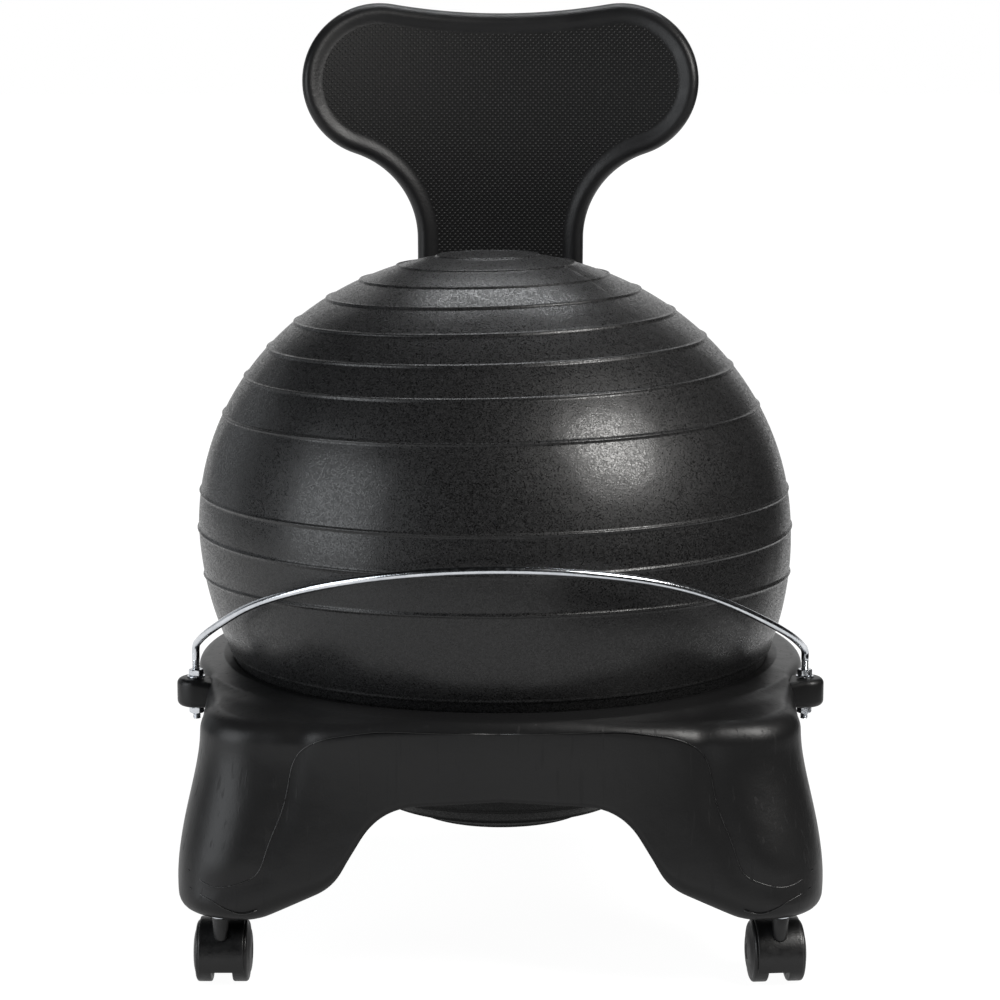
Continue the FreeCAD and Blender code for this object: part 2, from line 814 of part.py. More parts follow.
def back_profile():
    """The front face seen from the side, from foot to tip, as points along three runs."""
    face = size("back_face")
    lean = math.radians(size("back_lean_angle"))
    low = size("back_lower_bend")
    high = size("back_upper_bend")
    low_start = Vector(0, face, size("back_straight_top"))
    low_middle = low_start + Vector(0, -low * (1 - math.cos(lean / 2)), low * math.sin(lean / 2))
    low_stop = low_start + Vector(0, -low * (1 - math.cos(lean)), low * math.sin(lean))
    run = size("back_lean_top") - low_stop.z
    high_start = low_stop + Vector(0, -run * math.tan(lean), run)
    centre = high_start + Vector(0, high * math.cos(lean), high * math.sin(lean))
    tip_turn = math.asin((size("lobe_height") + 2 * size("lobe_radius") - centre.z) / high)
    middle_turn = (tip_turn - lean) / 2
    high_middle = centre + Vector(0, -high * math.cos(middle_turn), high * math.sin(middle_turn))
    tip = centre + Vector(0, -high * math.cos(tip_turn), high * math.sin(tip_turn))
    foot = Vector(0, face, size("back_foot_height") - size("back_thickness"))
    return [
        Part.LineSegment(foot, low_start),
        Part.Arc(low_start, low_middle, low_stop),
        Part.LineSegment(low_stop, high_start),
        Part.Arc(high_start, high_middle, tip),
    ]


def back_slab(front, rear):
    """The curved slab between two depths behind the front face."""
    path = Part.Wire([piece.toShape() for piece in back_profile()])
    reach = size("back_thickness")
    near = path.copy()
    near.translate(Vector(0, front, 0))
    far = path.copy()
    far.translate(Vector(0, rear, 0))
    near_ends = [vertex.Point for vertex in near.OrderedVertexes]
    far_ends = [vertex.Point for vertex in far.OrderedVertexes]
    ties = [
        Part.LineSegment(near_ends[0], far_ends[0]).toShape(),
        Part.LineSegment(near_ends[-1], far_ends[-1]).toShape(),
    ]
    face = Part.Face(Part.Wire(Part.__sortEdges__(near.Edges + far.Edges + ties)))
    centre = Vector(0, size("back_face") - size("back_plan_radius"), 0)
    widest = size("lobe_reach") + size("lobe_radius") + reach
    half_turn = math.degrees(math.asin(widest / size("back_plan_radius")))
    face.rotate(centre, Vector(0, 0, 1), -half_turn)
    return face.revolve(centre, Vector(0, 0, 1), 2 * half_turn)


def back_form(inset, front, rear):
    """The part of the slab that lies inside the T outline."""
    face = Part.Face(back_outline(inset))
    face.translate(Vector(0, size("pad_root"), 0))
    thick = size("lobe_radius") + size("back_thickness")
    face.translate(Vector(0, -thick, 0))
    prism = face.extrude(Vector(0, 3 * thick, 0))
    return prism.common(back_slab(front, rear)).Solids[0]


def faces_fore_or_aft(face):
    """Whether a face looks mostly forwards or backwards."""
    across_start, across_stop, up_start, up_stop = face.ParameterRange
    normal = face.normalAt((across_start + across_stop) / 2, (up_start + up_stop) / 2)
    return abs(normal.y) > math.sin(math.radians(30))


def rim_edges(form):
    """The edges where the front and rear of the panel meet its sides."""
    broad = [face for face in form.Faces if faces_fore_or_aft(face)]
    edges = [edge for face in broad for edge in face.Edges]
    return [edge for edge in edges if sum(edge.isSame(other) for other in edges) == 1]


def backrest_panel():
    """The hollow backrest, with its rounded edge, its front recess and its bolt holes."""
    thick = size("back_thickness")
    wall = size("back_wall")
    form = back_form(0, 0, thick)
    form = form.makeFillet(size("back_edge_round"), rim_edges(form))
    recess = back_form(size("panel_inset"), -size("panel_depth"), size("panel_depth"))
    hollow = back_form(size("back_edge_round"), size("panel_depth") + wall, thick - wall)
    front = size("back_face") - size("back_thickness")
    seat = size("back_face") + thick - size("bolt_seat_depth")
    holes = []
    for x, z in bolt_places():
        hollow = hollow.cut(lying(size("bolt_boss_radius"), front, seat + thick, x, z))
        holes.append(lying(size("bolt_radius") + size("bolt_hole_clearance"), front, seat, x, z))
        spot = size("back_washer_radius") + size("bolt_hole_clearance")
        holes.append(lying(spot, seat, seat + thick, x, z))
    pad_top = size("pad_top_height")
    lower_front = Part.makeBox(
        2 * size("lobe_reach"), thick, pad_top, Vector(-size("lobe_reach"), front, 0)
    )
    form = form.cut(recess.cut(lower_front)).cut(hollow).cut(holes)
    solid_feature("backrest_panel", form)


def backrest_fixings():
    """The inserts in the base, and the bolts and washers that go in from the rear."""
    seat = "back_face + back_thickness - bolt_seat_depth"
    head = seat + " + back_washer_thickness"
    inserts, bolts, washers = [], [], []
    for number, (across, up) in enumerate((a, u) for u in "+-" for a in "-+"):
        x = f"{across} 0.5 * bolt_spacing_x".replace("+ ", "")
        z = f"bolt_centre_height {up} 0.5 * bolt_spacing_z"
        tag = str(number + 1)
        start = "back_face - insert_recess - insert_length"
        sleeve = cylinder("insert_sleeve" + tag, "insert_radius", "insert_length", (x, start, z), "Y")
        thread = "bolt_radius + thread_clearance"
        tapped = cylinder("insert_thread" + tag, thread, "insert_length", (x, start, z), "Y")
        inserts.append(cut_away("insert" + tag, sleeve, tapped))
        disc = cylinder("back_washer_disc" + tag, "back_washer_radius", "back_washer_thickness", (x, seat, z), "Y")
        eye = "bolt_radius + thread_clearance"
        hole = cylinder("back_washer_eye" + tag, eye, "back_washer_thickness", (x, seat, z), "Y")
        washers.append(cut_away("back_washer" + tag, disc, hole))
        cap = cylinder("bolt_head" + tag, "bolt_head_radius", "bolt_head_height", (x, head, z), "Y")
        shank_start = head + " - bolt_length"
        shank = cylinder("bolt_shank" + tag, "bolt_radius", "bolt_length", (x, shank_start, z), "Y")
        drive_start = head + " + bolt_head_height - bolt_socket_depth"
        drive = hexagon("bolt_drive" + tag, "bolt_socket_radius", "bolt_socket_depth", (x, drive_start, z), "Y")
        bolts.append(cut_away("bolt" + tag, joined("bolt_blank" + tag, [cap, shank]), drive))
    group("backrest_inserts", inserts)
    group("backrest_washers", washers)
    group("backrest_bolts", bolts)


# The retaining rod and its nuts.
def retaining_rod():
    """The bent rod: upright ends, a tight bend at each side and one wide arc in front."""
    side = size("lug_reach")
    forward = size("lug_forward")
    corner_z = size("rod_corner_height")
    rise = Vector(0, forward - size("rod_apex_forward"), size("rod_apex_height") - corner_z)
    height = rise.Length
    rise.normalize()
    straight = size("rod_straight")
    turn = 2 * math.atan2(height, side + straight)
    corner = Vector(side, -forward, corner_z)
    heading = Vector(-math.cos(turn), 0, 0) + rise * math.sin(turn)
    bend = size("rod_bend_radius")
    upward = Vector(0, 0, 1)
    half = upward.getAngle(heading) / 2
    reach = bend * math.tan(half)
    inward = (heading - upward).normalize()
    start = corner - upward * reach
    stop = corner + heading * reach
    middle = corner + inward * (bend / math.cos(half) - bend)
    arc_end = corner + heading * straight
    apex = Vector(0, -size("rod_apex_forward"), size("rod_apex_height"))
    fixings = size("rod_washer_thickness") + size("nut_height") + size("rod_tail")
    low = size("lug_top_height") - size("lug_depth") - fixings
    foot = Vector(side, -forward, low)

    def mirrored(point):
        return Vector(-point.x, point.y, point.z)

    right = [
        Part.LineSegment(foot, start),
        Part.Arc(start, middle, stop),
        Part.LineSegment(stop, arc_end),
    ]
    left = [
        Part.LineSegment(mirrored(arc_end), mirrored(stop)),
        Part.Arc(mirrored(stop), mirrored(middle), mirrored(start)),
        Part.LineSegment(mirrored(start), mirrored(foot)),
    ]
    wide = Part.Arc(arc_end, apex, mirrored(arc_end))
    path = Part.Wire([piece.toShape() for piece in right + [wide] + left])
    section = Part.Wire(Part.makeCircle(size("rod_radius"), foot, upward))
    solid_feature("retaining_rod", path.makePipeShell([section], True, False))


def rod_fixings():
    """A washer and a nut above and below each lug."""
    lug_top = "lug_top_height"
    lug_bottom = "lug_top_height - lug_depth"
    levels = {
        "upper": (lug_top, lug_top + " + rod_washer_thickness"),
        "lower": (
            lug_bottom + " - rod_washer_thickness",
            lug_bottom + " - rod_washer_thickness - nut_height",
        ),
    }
    thread = "rod_radius + thread_clearance"
    for level, (washer_z, nut_z) in levels.items():
        nuts, washers = [], []
        for side, x in (("left", "-1 * lug_reach"), ("right", "lug_reach")):
            tag = f"{level}_{side}"
            place = (x, "-1 * lug_forward", nut_z)
            blank = hexagon("nut_blank_" + tag, "nut_circumradius", "nut_height", place)
            tapped = cylinder("nut_thread_" + tag, thread, "nut_height", place)
            nuts.append(cut_away("nut_" + tag, blank, tapped))
            place = (x, "-1 * lug_forward", washer_z)
            disc = cylinder("washer_disc_" + tag, "rod_washer_radius", "rod_washer_thickness", place)
            eye = cylinder("washer_eye_" + tag, thread, "rod_washer_thickness", place)
            washers.append(cut_away("washer_" + tag, disc, eye))
        group(f"rod_{level}_nuts", nuts)
        group(f"rod_{level}_washers", washers)


# Casters. Each one is drawn about its own stem with its wheels trailing towards +Y.
def caster_frame(x, y, turn):
    """Where a caster stands and how far it is turned."""
    return Placement(Vector(x, y, 0), Rotation(Vector(0, 0, 1), turn))


def stem_outline():
    """The stem: pintle, collar and grooved shank, measured from the floor."""
    collar_top = "foot_height - socket_flange - seat_gap"
    ring_low = collar_top + " + grip_ring_height"
    ring_high = ring_low + " + grip_ring_depth"
    top = collar_top + " + stem_rise"
    return [
        ("0", "stem_tube_top - pintle_depth"),
        ("pintle_radius", "stem_tube_top - pintle_depth"),
        ("pintle_radius", "stem_tube_top"),
        ("collar_radius", "stem_tube_top"),
        ("collar_radius", collar_top),
        ("stem_radius", collar_top),
        ("stem_radius", ring_low),
        ("stem_radius - grip_groove", ring_low),
        ("stem_radius - grip_groove", ring_high),
        ("stem_radius", ring_high),
        ("stem_radius", top + " - stem_tip"),
        ("stem_radius - stem_tip", top),
        ("0", top),
    ]


def grip_ring_outline():
    """The spring ring in the stem's groove, which snaps into the socket's groove."""
    low = "foot_height - socket_flange - seat_gap + grip_ring_height + grip_clearance"
    high = low + " + grip_ring_depth - 2 * grip_clearance"
    inner = "stem_radius - grip_groove + grip_clearance"
    outer = "stem_radius + grip_proud"
    return [(inner, low), (outer, low), (outer, high), (inner, high)]


def socket_outline():
    """The socket in the leg: a flanged sleeve with a closed top and a groove for the ring."""
    bore = "stem_radius + running_clearance"
    groove = "stem_radius + grip_proud + grip_clearance"
    flange_low = "foot_height - socket_flange"
    ring_low = flange_low + " - seat_gap + grip_ring_height"
    ring_high = ring_low + " + grip_ring_depth"
    bore_top = "foot_height + socket_rise"
    top = bore_top + " + socket_end_wall"
    return [
        (bore, flange_low),
        ("socket_flange_radius", flange_low),
        ("socket_flange_radius", "foot_height"),
        ("socket_radius", "foot_height"),
        ("socket_radius", top),
        ("0", top),
        ("0", bore_top),
        (bore, bore_top),
        (bore, ring_high),
        (groove, ring_high),
        (groove, ring_low),
        (bore, ring_low),
    ]


def wheel_outline():
    """One wheel from its inner face outwards: blind bore, tread and low dome."""
    bore = "axle_radius + running_clearance"
    full = "wheel_tread_width + wheel_dome"
    return [
        (bore, "0"),
        ("wheel_radius - wheel_edge", "0"),
        ("wheel_radius", "wheel_edge"),
        ("wheel_radius", "wheel_tread_width"),
        ("wheel_radius - wheel_dome", "wheel_tread_width + 0.5 * wheel_dome"),
        ("wheel_dome_radius", full),
        ("0", full),
        ("0", "wheel_bore_depth"),
        (bore, "wheel_bore_depth"),
    ]


def brake_pivot():
    """The brake lever's pivot in the caster's own YZ plane."""
    back, up = polar(size("brake_pivot_radius"), size("brake_pivot_angle"))
    return Vector(0, size("caster_trail") + back, size("wheel_radius") + up)


def brake_lever_form(grown, turn):
    """The lever's hub and arm, grown on every side, turned down by turn about the pivot."""
    pivot = brake_pivot()
    half = size("brake_arm_half_width") + grown
    hub = Part.makeCylinder(
        size("brake_hub_radius") + grown, 2 * half, pivot - Vector(half, 0, 0), Vector(1, 0, 0)
    )
    thick = size("brake_arm_thickness") + 2 * grown
    length = size("brake_pedal_end") - size("brake_pivot_radius")
    arm = Part.makeBox(2 * half, thick, length, pivot - Vector(half, thick / 2, 0))
    form = hub.fuse(arm)
    form.rotate(pivot, Vector(-1, 0, 0), size("brake_pivot_angle") + turn)
    return form


def brake_pedal():
    """The wide tab at the end of the lever."""
    pivot = brake_pivot()
    half = size("brake_pedal_half_width")
    thick = size("brake_arm_thickness")
    start = size("brake_pedal_start") - size("brake_pivot_radius")
    length = size("brake_pedal_end") - size("brake_pedal_start")
    tab = Part.makeBox(2 * half, thick, length, pivot + Vector(-half, -thick / 2, start))
    corners = [edge for edge in tab.Edges if edge.BoundBox.YLength > thick / 2]
    tab = tab.makeFillet(thick / 2, corners)
    tab.rotate(pivot, Vector(-1, 0, 0), size("brake_pivot_angle"))
    return tab


def caster_hood(name, braked):
    """The hood over both wheels, with its web, stem tube and bores."""
    axle = ("caster_trail", "wheel_radius")
    shell = cylinder(
        name + "_drum", "hood_radius", "2 * hood_half_width", ("-1 * hood_half_width",) + axle, "X"
    )
    tube = cylinder(
        name + "_tube", "stem_tube_radius", "stem_tube_top - stem_tube_foot", ("0", "0", "stem_tube_foot")
    )
    well_width = "hood_half_width - hood_web_half_width"
    well_radius = "hood_radius - hood_wall"
    cutters = [
        cylinder(name + "_well_right", well_radius, well_width, ("hood_web_half_width",) + axle, "X"),
        cylinder(name + "_well_left", well_radius, well_width, ("-1 * hood_half_width",) + axle, "X"),
        block(
            name + "_mouth",
            ("2 * hood_half_width", "2 * hood_radius", "hood_mouth_height + hood_radius"),
            ("-1 * hood_half_width", "caster_trail - hood_radius", "-1 * hood_radius"),
        ),
        cylinder(
            name + "_axle_bore",
            "axle_radius + fixed_fit",
            "2 * hood_web_half_width",
            ("-1 * hood_web_half_width",) + axle,
            "X",
        ),
        cylinder(
            name + "_pintle_bore",
            "pintle_radius + fixed_fit",
            "pintle_depth",
            ("0", "0", "stem_tube_top - pintle_depth"),
        ),
    ]
    if braked:
        slot = DOCUMENT.addObject("Part::Feature", name + "_brake_slot")
        gap = size("brake_slot_gap")
        pin = size("brake_pin_radius") + size("fixed_fit")
        half = size("hood_web_half_width")
        bore = Part.makeCylinder(pin, 2 * half, brake_pivot() - Vector(half, 0, 0), Vector(1, 0, 0))
        lowered = brake_lever_form(gap, size("brake_throw"))
        slot.Shape = brake_lever_form(gap, 0).fuse([lowered, bore])
        cutters.append(slot)
    blank = joined(name + "_blank", [shell, tube])
    return cut_away(name, blank, joined(name + "_cuts", cutters))


def caster(place_name, x, y, turn, braked):
    """One complete caster, from its socket in the leg to its two wheels."""
    frame = caster_frame(x, y, turn)
    turned_body(f"caster_socket_{place_name}", socket_outline(), frame)
    turned_body(f"caster_stem_{place_name}", stem_outline(), frame)
    turned_body(f"grip_ring_{place_name}", grip_ring_outline(), frame)
    hood = caster_hood(f"caster_hood_{place_name}", braked)
    hood.Placement = frame
    publish(hood, f"caster_hood_{place_name}")
    half_axle = "wheel_inner_face + wheel_bore_depth - axle_end_gap"
    axle = [
        ("0", "0"),
        ("axle_radius", "0"),
        ("axle_radius", half_axle + " + " + half_axle),
        ("0", half_axle + " + " + half_axle),
    ]
    to_right = Rotation(Vector(0, 1, 0), 90)
    to_left = Rotation(Vector(0, 1, 0), -90)
    hub = Vector(0, size("caster_trail"), size("wheel_radius"))
    axle_start = hub - Vector(value(half_axle), 0, 0)
    turned_body(f"wheel_axle_{place_name}", axle, frame.multiply(Placement(axle_start, to_right)))
    for side, sign, lay in (("left", -1, to_left), ("right", 1, to_right)):
        start = hub + Vector(sign * size("wheel_inner_face"), 0, 0)
        place = frame.multiply(Placement(start, lay))
        turned_body(f"wheel_{side}_{place_name}", wheel_outline(), place)
    if braked:
        brake(place_name, frame)


def brake(place_name, frame):
    """The brake lever and the pin that it turns on."""
    pivot = brake_pivot()
    half = size("hood_web_half_width")
    bore_radius = size("brake_pin_radius") + size("running_clearance")
    bore = Part.makeCylinder(bore_radius, 2 * half, pivot - Vector(half, 0, 0), Vector(1, 0, 0))
    lever = brake_lever_form(0, 0).fuse(brake_pedal()).cut(bore)
    part = DOCUMENT.addObject("Part::Feature", f"brake_lever_{place_name}")
    part.Shape = lever
    part.Placement = frame
    publish(part, f"brake_lever_{place_name}")
    outline = [
        ("0", "0"),
        ("brake_pin_radius", "0"),
        ("brake_pin_radius", "2 * hood_web_half_width"),
        ("0", "2 * hood_web_half_width"),
    ]
    start = Placement(pivot - Vector(half, 0, 0), Rotation(Vector(0, 1, 0), 90))
    turned_body(f"brake_pin_{place_name}", outline, frame.multiply(start))


def check_document():
    """Stop if anything failed to compute or any sub-part isn't a sound solid."""
    for thing in DOCUMENT.Objects:
        if "Invalid" in thing.State or "Error" in thing.State:
            raise RuntimeError(f"{thing.Name} failed: {thing.State}")
    for part in NODES:
        shape = part.Shape
        if shape.isNull() or not shape.isValid() or not shape.Solids:
            raise RuntimeError(f"{part.Label} is not a sound solid")


def export_nodes():
    """Write each sub-part to its own file."""
    os.makedirs("parts", exist_ok=True)
    for part in NODES:
        part.Shape.exportStep(f"parts/{part.Label}.step")
        litres = part.Shape.Volume / 1e6
        print(f"{part.Label}: {len(part.Shape.Solids)} solids, {litres:.4f} litres")


ball_pieces()
base_frame()
backrest_panel()
backrest_fixings()
retaining_rod()
rod_fixings()
for caster_name, caster_x, caster_y, caster_turn in caster_places():
    caster(caster_name, caster_x, caster_y, caster_turn, caster_name.startswith("rear"))
DOCUMENT.recompute()
check_document()
export_nodes()
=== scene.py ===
import math

import bmesh
import bpy
import numpy as np
from mathutils import Matrix, Vector


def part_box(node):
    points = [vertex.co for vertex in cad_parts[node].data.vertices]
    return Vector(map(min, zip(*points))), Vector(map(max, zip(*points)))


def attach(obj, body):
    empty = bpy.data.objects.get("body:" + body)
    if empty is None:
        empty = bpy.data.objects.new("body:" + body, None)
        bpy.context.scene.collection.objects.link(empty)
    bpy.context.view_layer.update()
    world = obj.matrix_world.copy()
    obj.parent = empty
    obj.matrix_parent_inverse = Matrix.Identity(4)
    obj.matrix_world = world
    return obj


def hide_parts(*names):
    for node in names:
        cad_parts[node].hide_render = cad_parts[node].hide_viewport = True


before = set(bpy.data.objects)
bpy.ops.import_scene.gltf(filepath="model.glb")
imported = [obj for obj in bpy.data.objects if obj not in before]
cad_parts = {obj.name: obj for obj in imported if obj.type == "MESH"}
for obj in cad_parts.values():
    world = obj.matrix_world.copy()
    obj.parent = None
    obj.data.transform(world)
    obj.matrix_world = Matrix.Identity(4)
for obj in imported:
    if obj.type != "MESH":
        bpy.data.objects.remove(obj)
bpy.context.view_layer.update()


# The camera stands a little above the ball, far off with a long lens, and looks slightly down.
def add_object(name, data):
    """An object that shows this data, linked into the scene."""
    made = bpy.data.objects.new(name, data)
    bpy.context.scene.collection.objects.link(made)
    return made


lens_in_frame_widths, pitch_down = 2.8053, 9.57
camera_data = bpy.data.cameras.new("camera")
camera_data.sensor_width = 36.0
camera_data.lens = lens_in_frame_widths * camera_data.sensor_width
camera = add_object("camera", camera_data)
camera.location = (-0.0004, -2.403, 0.768)
camera.rotation_euler = (math.radians(90 - pitch_down), 0, 0)
bpy.context.scene.camera = camera


# The studio: a white floor and background, a broad soft light on each side, one overhead, a weak
# one at the left rear, and a tent of dark cloth that keeps the black plastic dark. The tent is
# open at the back up to 2.4 m, comes nearer at the right, and a low flag stands in it there.
def add_node(tree, kind, inputs=(), **settings):
    """A shader node with these settings. Each input takes a value, or a link from the output
    that is given for it."""
    node = tree.nodes.new("ShaderNode" + kind)
    for name, value in settings.items():
        setattr(node, name, value)
    for name, value in dict(inputs).items():
        if isinstance(value, bpy.types.NodeSocket):
            tree.links.new(value, node.inputs[name])
        else:
            node.inputs[name].default_value = value
    return node


def outcome(tree, kind, output, inputs=(), **settings):
    """This output of a new node, made as add_node makes it."""
    return add_node(tree, kind, inputs, **settings).outputs[output]


def maths(tree, operation, first, second=0.5):
    """The outcome of a maths node for one or two amounts."""
    return outcome(tree, "Math", "Value", {0: first, 1: second}, operation=operation)


def spread(tree, amount, start, stop, low=0.0, high=1.0, **settings):
    """An amount that runs from start to stop, carried over to low to high and held there."""
    inputs = {"Value": amount, "From Min": start, "From Max": stop, "To Min": low, "To Max": high}
    return outcome(tree, "MapRange", "Result", inputs, **settings)


def seen_white(tree, otherwise):
    """Strength 1 for rays from the camera, off shiny and through clear surfaces; this strength
    for any other ray."""
    path = add_node(tree, "LightPath")
    strength = otherwise
    for ray in ("Is Camera Ray", "Is Glossy Ray", "Is Transmission Ray"):
        strength = maths(tree, "MAXIMUM", path.outputs[ray], strength)
    return strength


def finish(name, colour, roughness, metallic=0.0, specular=0.5):
    """A principled material with these constants on the shader's own sockets."""
    material = bpy.data.materials.new(name)
    material.use_nodes = True
    sockets = material.node_tree.nodes["Principled BSDF"].inputs
    sockets["Base Color"].default_value = (*colour, 1)
    sockets["Roughness"].default_value = roughness
    sockets["Metallic"].default_value = metallic
    sockets["Specular IOR Level"].default_value = specular
    return material


def add_mesh(name, points, faces, materials):
    """An object over a list of points and of faces, with these materials."""
    mesh = bpy.data.meshes.new(name)
    mesh.from_pydata(points.tolist(), [], faces)
    for material in materials:
        mesh.materials.append(material)
    return add_object(name, mesh)


def grid_faces(rows, columns, ring_rows=False, ring_columns=False):
    """Quads over a grid of points; a ring joins the last row or column to the first."""
    index = np.arange(rows * columns).reshape(rows, columns)
    if ring_columns:
        index = np.hstack([index, index[:, :1]])
    if ring_rows:
        index = np.vstack([index, index[:1]])
    corners = [index[:-1, :-1], index[:-1, 1:], index[1:, 1:], index[1:, :-1]]
    return np.stack(corners, axis=-1).reshape(-1, 4)


world = bpy.data.worlds.new("room")
world.use_nodes = True
room = world.node_tree
room.nodes.clear()
room_glow = {"Color": (1, 1, 1, 1), "Strength": seen_white(room, 0.4)}
room_light = outcome(room, "Background", "Background", room_glow)
add_node(room, "OutputWorld", {"Surface": room_light})
bpy.context.scene.world = world
bpy.context.scene.view_settings.view_transform = "Standard"

floor_paint = bpy.data.materials.new("floor_paint")
floor_paint.use_nodes = True
paint = floor_paint.node_tree
paint.nodes.clear()
floor_place = outcome(paint, "TexCoord", "Object")
floor_reach = outcome(paint, "VectorMath", "Value", {0: floor_place}, operation="LENGTH")
floor_seen = spread(paint, floor_reach, 0.5, 1.6, 0.97, 1.0)
# Painted shadow: for rays other than the camera's, the floor's glow is dimmed under the chair,
# from a tenth within 0.12 m of its middle to full at half a metre.
floor_painted_shadow = spread(paint, floor_reach, 0.12, 0.5, 0.1, 1.0)
to_camera = outcome(paint, "LightPath", "Is Camera Ray")
floor_shares = {"Factor": to_camera, "A": floor_painted_shadow, "B": floor_seen}
floor_choice = outcome(paint, "Mix", "Result", floor_shares)
floor_glow = maths(paint, "MULTIPLY", floor_choice, seen_white(paint, 0.12))
floor_matt = outcome(paint, "BsdfDiffuse", "BSDF", {"Color": (0.12, 0.12, 0.12, 1)})
floor_white = outcome(paint, "Emission", "Emission", {"Strength": floor_glow})
floor_sum = outcome(paint, "AddShader", "Shader", {0: floor_matt, 1: floor_white})
add_node(paint, "OutputMaterial", {"Surface": floor_sum})
floor_half = 30.0
floor_corners = floor_half * np.array([(-1, -1, 0), (1, -1, 0), (1, 1, 0), (-1, 1, 0)])
floor = add_mesh("floor", floor_corners, [(0, 1, 2, 3)], [floor_paint])

cloth_reach, cloth_top, cloth_hem, cloth_columns = 2.9, 4.2, 0.02, 73
gap_half_turn, gap_height = 31, 2.4
nearer_by, nearer_turn, nearer_spread = 1.5, 28, 24
flag_reach, flag_top, flag_hem, flag_columns = 0.85, 0.30, 0.01, 20


def curtain(turns, reach, low, high):
    """Points of an upright sheet: its lower edge, then its upper edge, in these directions."""
    across = np.column_stack([reach * np.cos(turns), reach * np.sin(turns)])
    levels = [np.broadcast_to(level, turns.shape) for level in (low, high)]
    return np.vstack([np.column_stack([across, level]) for level in levels])


cloth_turn = np.radians(np.linspace(0, 360, cloth_columns)) - np.pi / 2
from_rear = np.abs(np.linspace(-180, 180, cloth_columns))
cloth_low = np.where(from_rear < gap_half_turn, gap_height, cloth_hem)
nearer = nearer_by * np.exp(-(((np.degrees(cloth_turn) - nearer_turn) / nearer_spread) ** 4))
flag_turn = np.radians(np.linspace(-70, 25, flag_columns))
wall_points = curtain(cloth_turn, cloth_reach - nearer, cloth_low, cloth_top)
flag_points = curtain(flag_turn, flag_reach, flag_hem, flag_top)
cloth_points = np.vstack([wall_points, [(0, 0, cloth_top)], flag_points])
peak = len(wall_points)
wall_faces = grid_faces(2, cloth_columns)
flag_faces = grid_faces(2, flag_columns) + peak + 1
roof_edge = np.arange(cloth_columns, peak - 1)
roof_faces = np.stack([roof_edge, roof_edge + 1, np.full_like(roof_edge, peak)], axis=1)
cloth_faces = wall_faces.tolist() + roof_faces.tolist() + flag_faces.tolist()
cloth_paint = finish("dark_cloth", (0.02, 0.02, 0.02), 1.0, specular=0.0)
cloth = add_mesh("dark_cloth", cloth_points, cloth_faces, [cloth_paint])
cloth.visible_camera = False


def softbox(name, place, aim, width, height, power, colour):
    """A rectangular area lamp at place, turned to face aim."""
    data = bpy.data.lights.new(name, "AREA")
    data.shape, data.size, data.size_y = "RECTANGLE", width, height
    data.energy, data.color = power, colour
    lamp = add_object(name, data)
    lamp.location = place
    facing = Vector(aim) - Vector(place)
    lamp.rotation_euler = facing.to_track_quat("-Z", "Y").to_euler()


softbox("key_right", (1.57, -1.12, 1.81), (0.05, -0.1, 0.42), 1.0, 1.0, 75, (1.0, 0.985, 0.96))
softbox("fill_left", (-1.96, -1.03, 0.8), (0, 0, 0.35), 1.4, 1.5, 31, (0.94, 0.97, 1.0))
softbox("top_rear", (0.05, 1.05, 2.3), (0, -0.05, 0.5), 1.2, 0.5, 15, (0.96, 0.98, 1.0))
softbox("glow_left", (-1.9, 1.25, 0.75), (0, 0, 0.35), 1.2, 1.3, 3, (0.94, 0.97, 1.0))


# The ball is a hollow vinyl skin with moulded ridges, close together round its ends and wide
# apart round its middle. It sits a few millimetres to the left, as an inflated ball settles.
def held(amount):
    """An amount held between 0 and 1."""
    return np.clip(amount, 0, 1)


def coords(*axes):
    """Points from one array for each of their coordinates."""
    return np.stack(axes, axis=-1)


def full_turn(count):
    """Directions all the way round, in this many equal steps."""
    return np.linspace(0, 2 * np.pi, count, endpoint=False)


def seal(piece):
    """Close a piece's seams and poles, point its faces outwards and shade it smooth."""
    mesh = piece.data
    shape = bmesh.new()
    shape.from_mesh(mesh)
    bmesh.ops.remove_doubles(shape, verts=shape.verts, dist=2e-6)
    bmesh.ops.recalc_face_normals(shape, faces=shape.faces)
    shape.to_mesh(mesh)
    shape.free()
    mesh.polygons.foreach_set("use_smooth", np.ones(len(mesh.polygons), dtype=bool))


def grid_piece(name, points, material, ring_rows=False, capped=False, sharp=None):
    """A piece over points[row, column], closed round its columns. Capped closes its first and
    last rows too, and edges that turn by more than sharp degrees stay crisp."""
    rows, columns = points.shape[:2]
    faces = grid_faces(rows, columns, ring_rows, True).tolist()
    if capped:
        faces.append(list(range(columns)))
        faces.append(list(range((rows - 1) * columns, rows * columns)))
    piece = add_mesh(name, points.reshape(-1, 3), faces, [material])
    seal(piece)
    if sharp is not None:
        piece.data.set_sharp_from_angle(angle=math.radians(sharp))
    return piece


def dress(piece, body, node):
    """Let a piece ride on a body and stand for a node of the model, whose own part is hidden."""
    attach(piece, body)
    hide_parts(node)


def object_place(material, stretch=(1, 1, 1)):
    """The piece's own coordinates, stretched by these factors."""
    place = outcome(material.node_tree, "TexCoord", "Object")
    return outcome(place.id_data, "Mapping", "Vector", {"Vector": place, "Scale": stretch})


def noise(place, scale, detail, low=0.3, high=0.7):
    """Cloudy noise from 0 to 1, drawn out between these two of its levels."""
    inputs = {"Vector": place, "Scale": scale, "Detail": detail}
    return spread(place.id_data, outcome(place.id_data, "TexNoise", "Fac", inputs), low, high)


def flakes(place, scale):
    """A crisp speckle: each small cell has its own amount from 0 to 1."""
    cells = outcome(place.id_data, "TexVoronoi", "Color", {"Vector": place, "Scale": scale})
    return outcome(place.id_data, "SeparateColor", "Red", {"Color": cells})


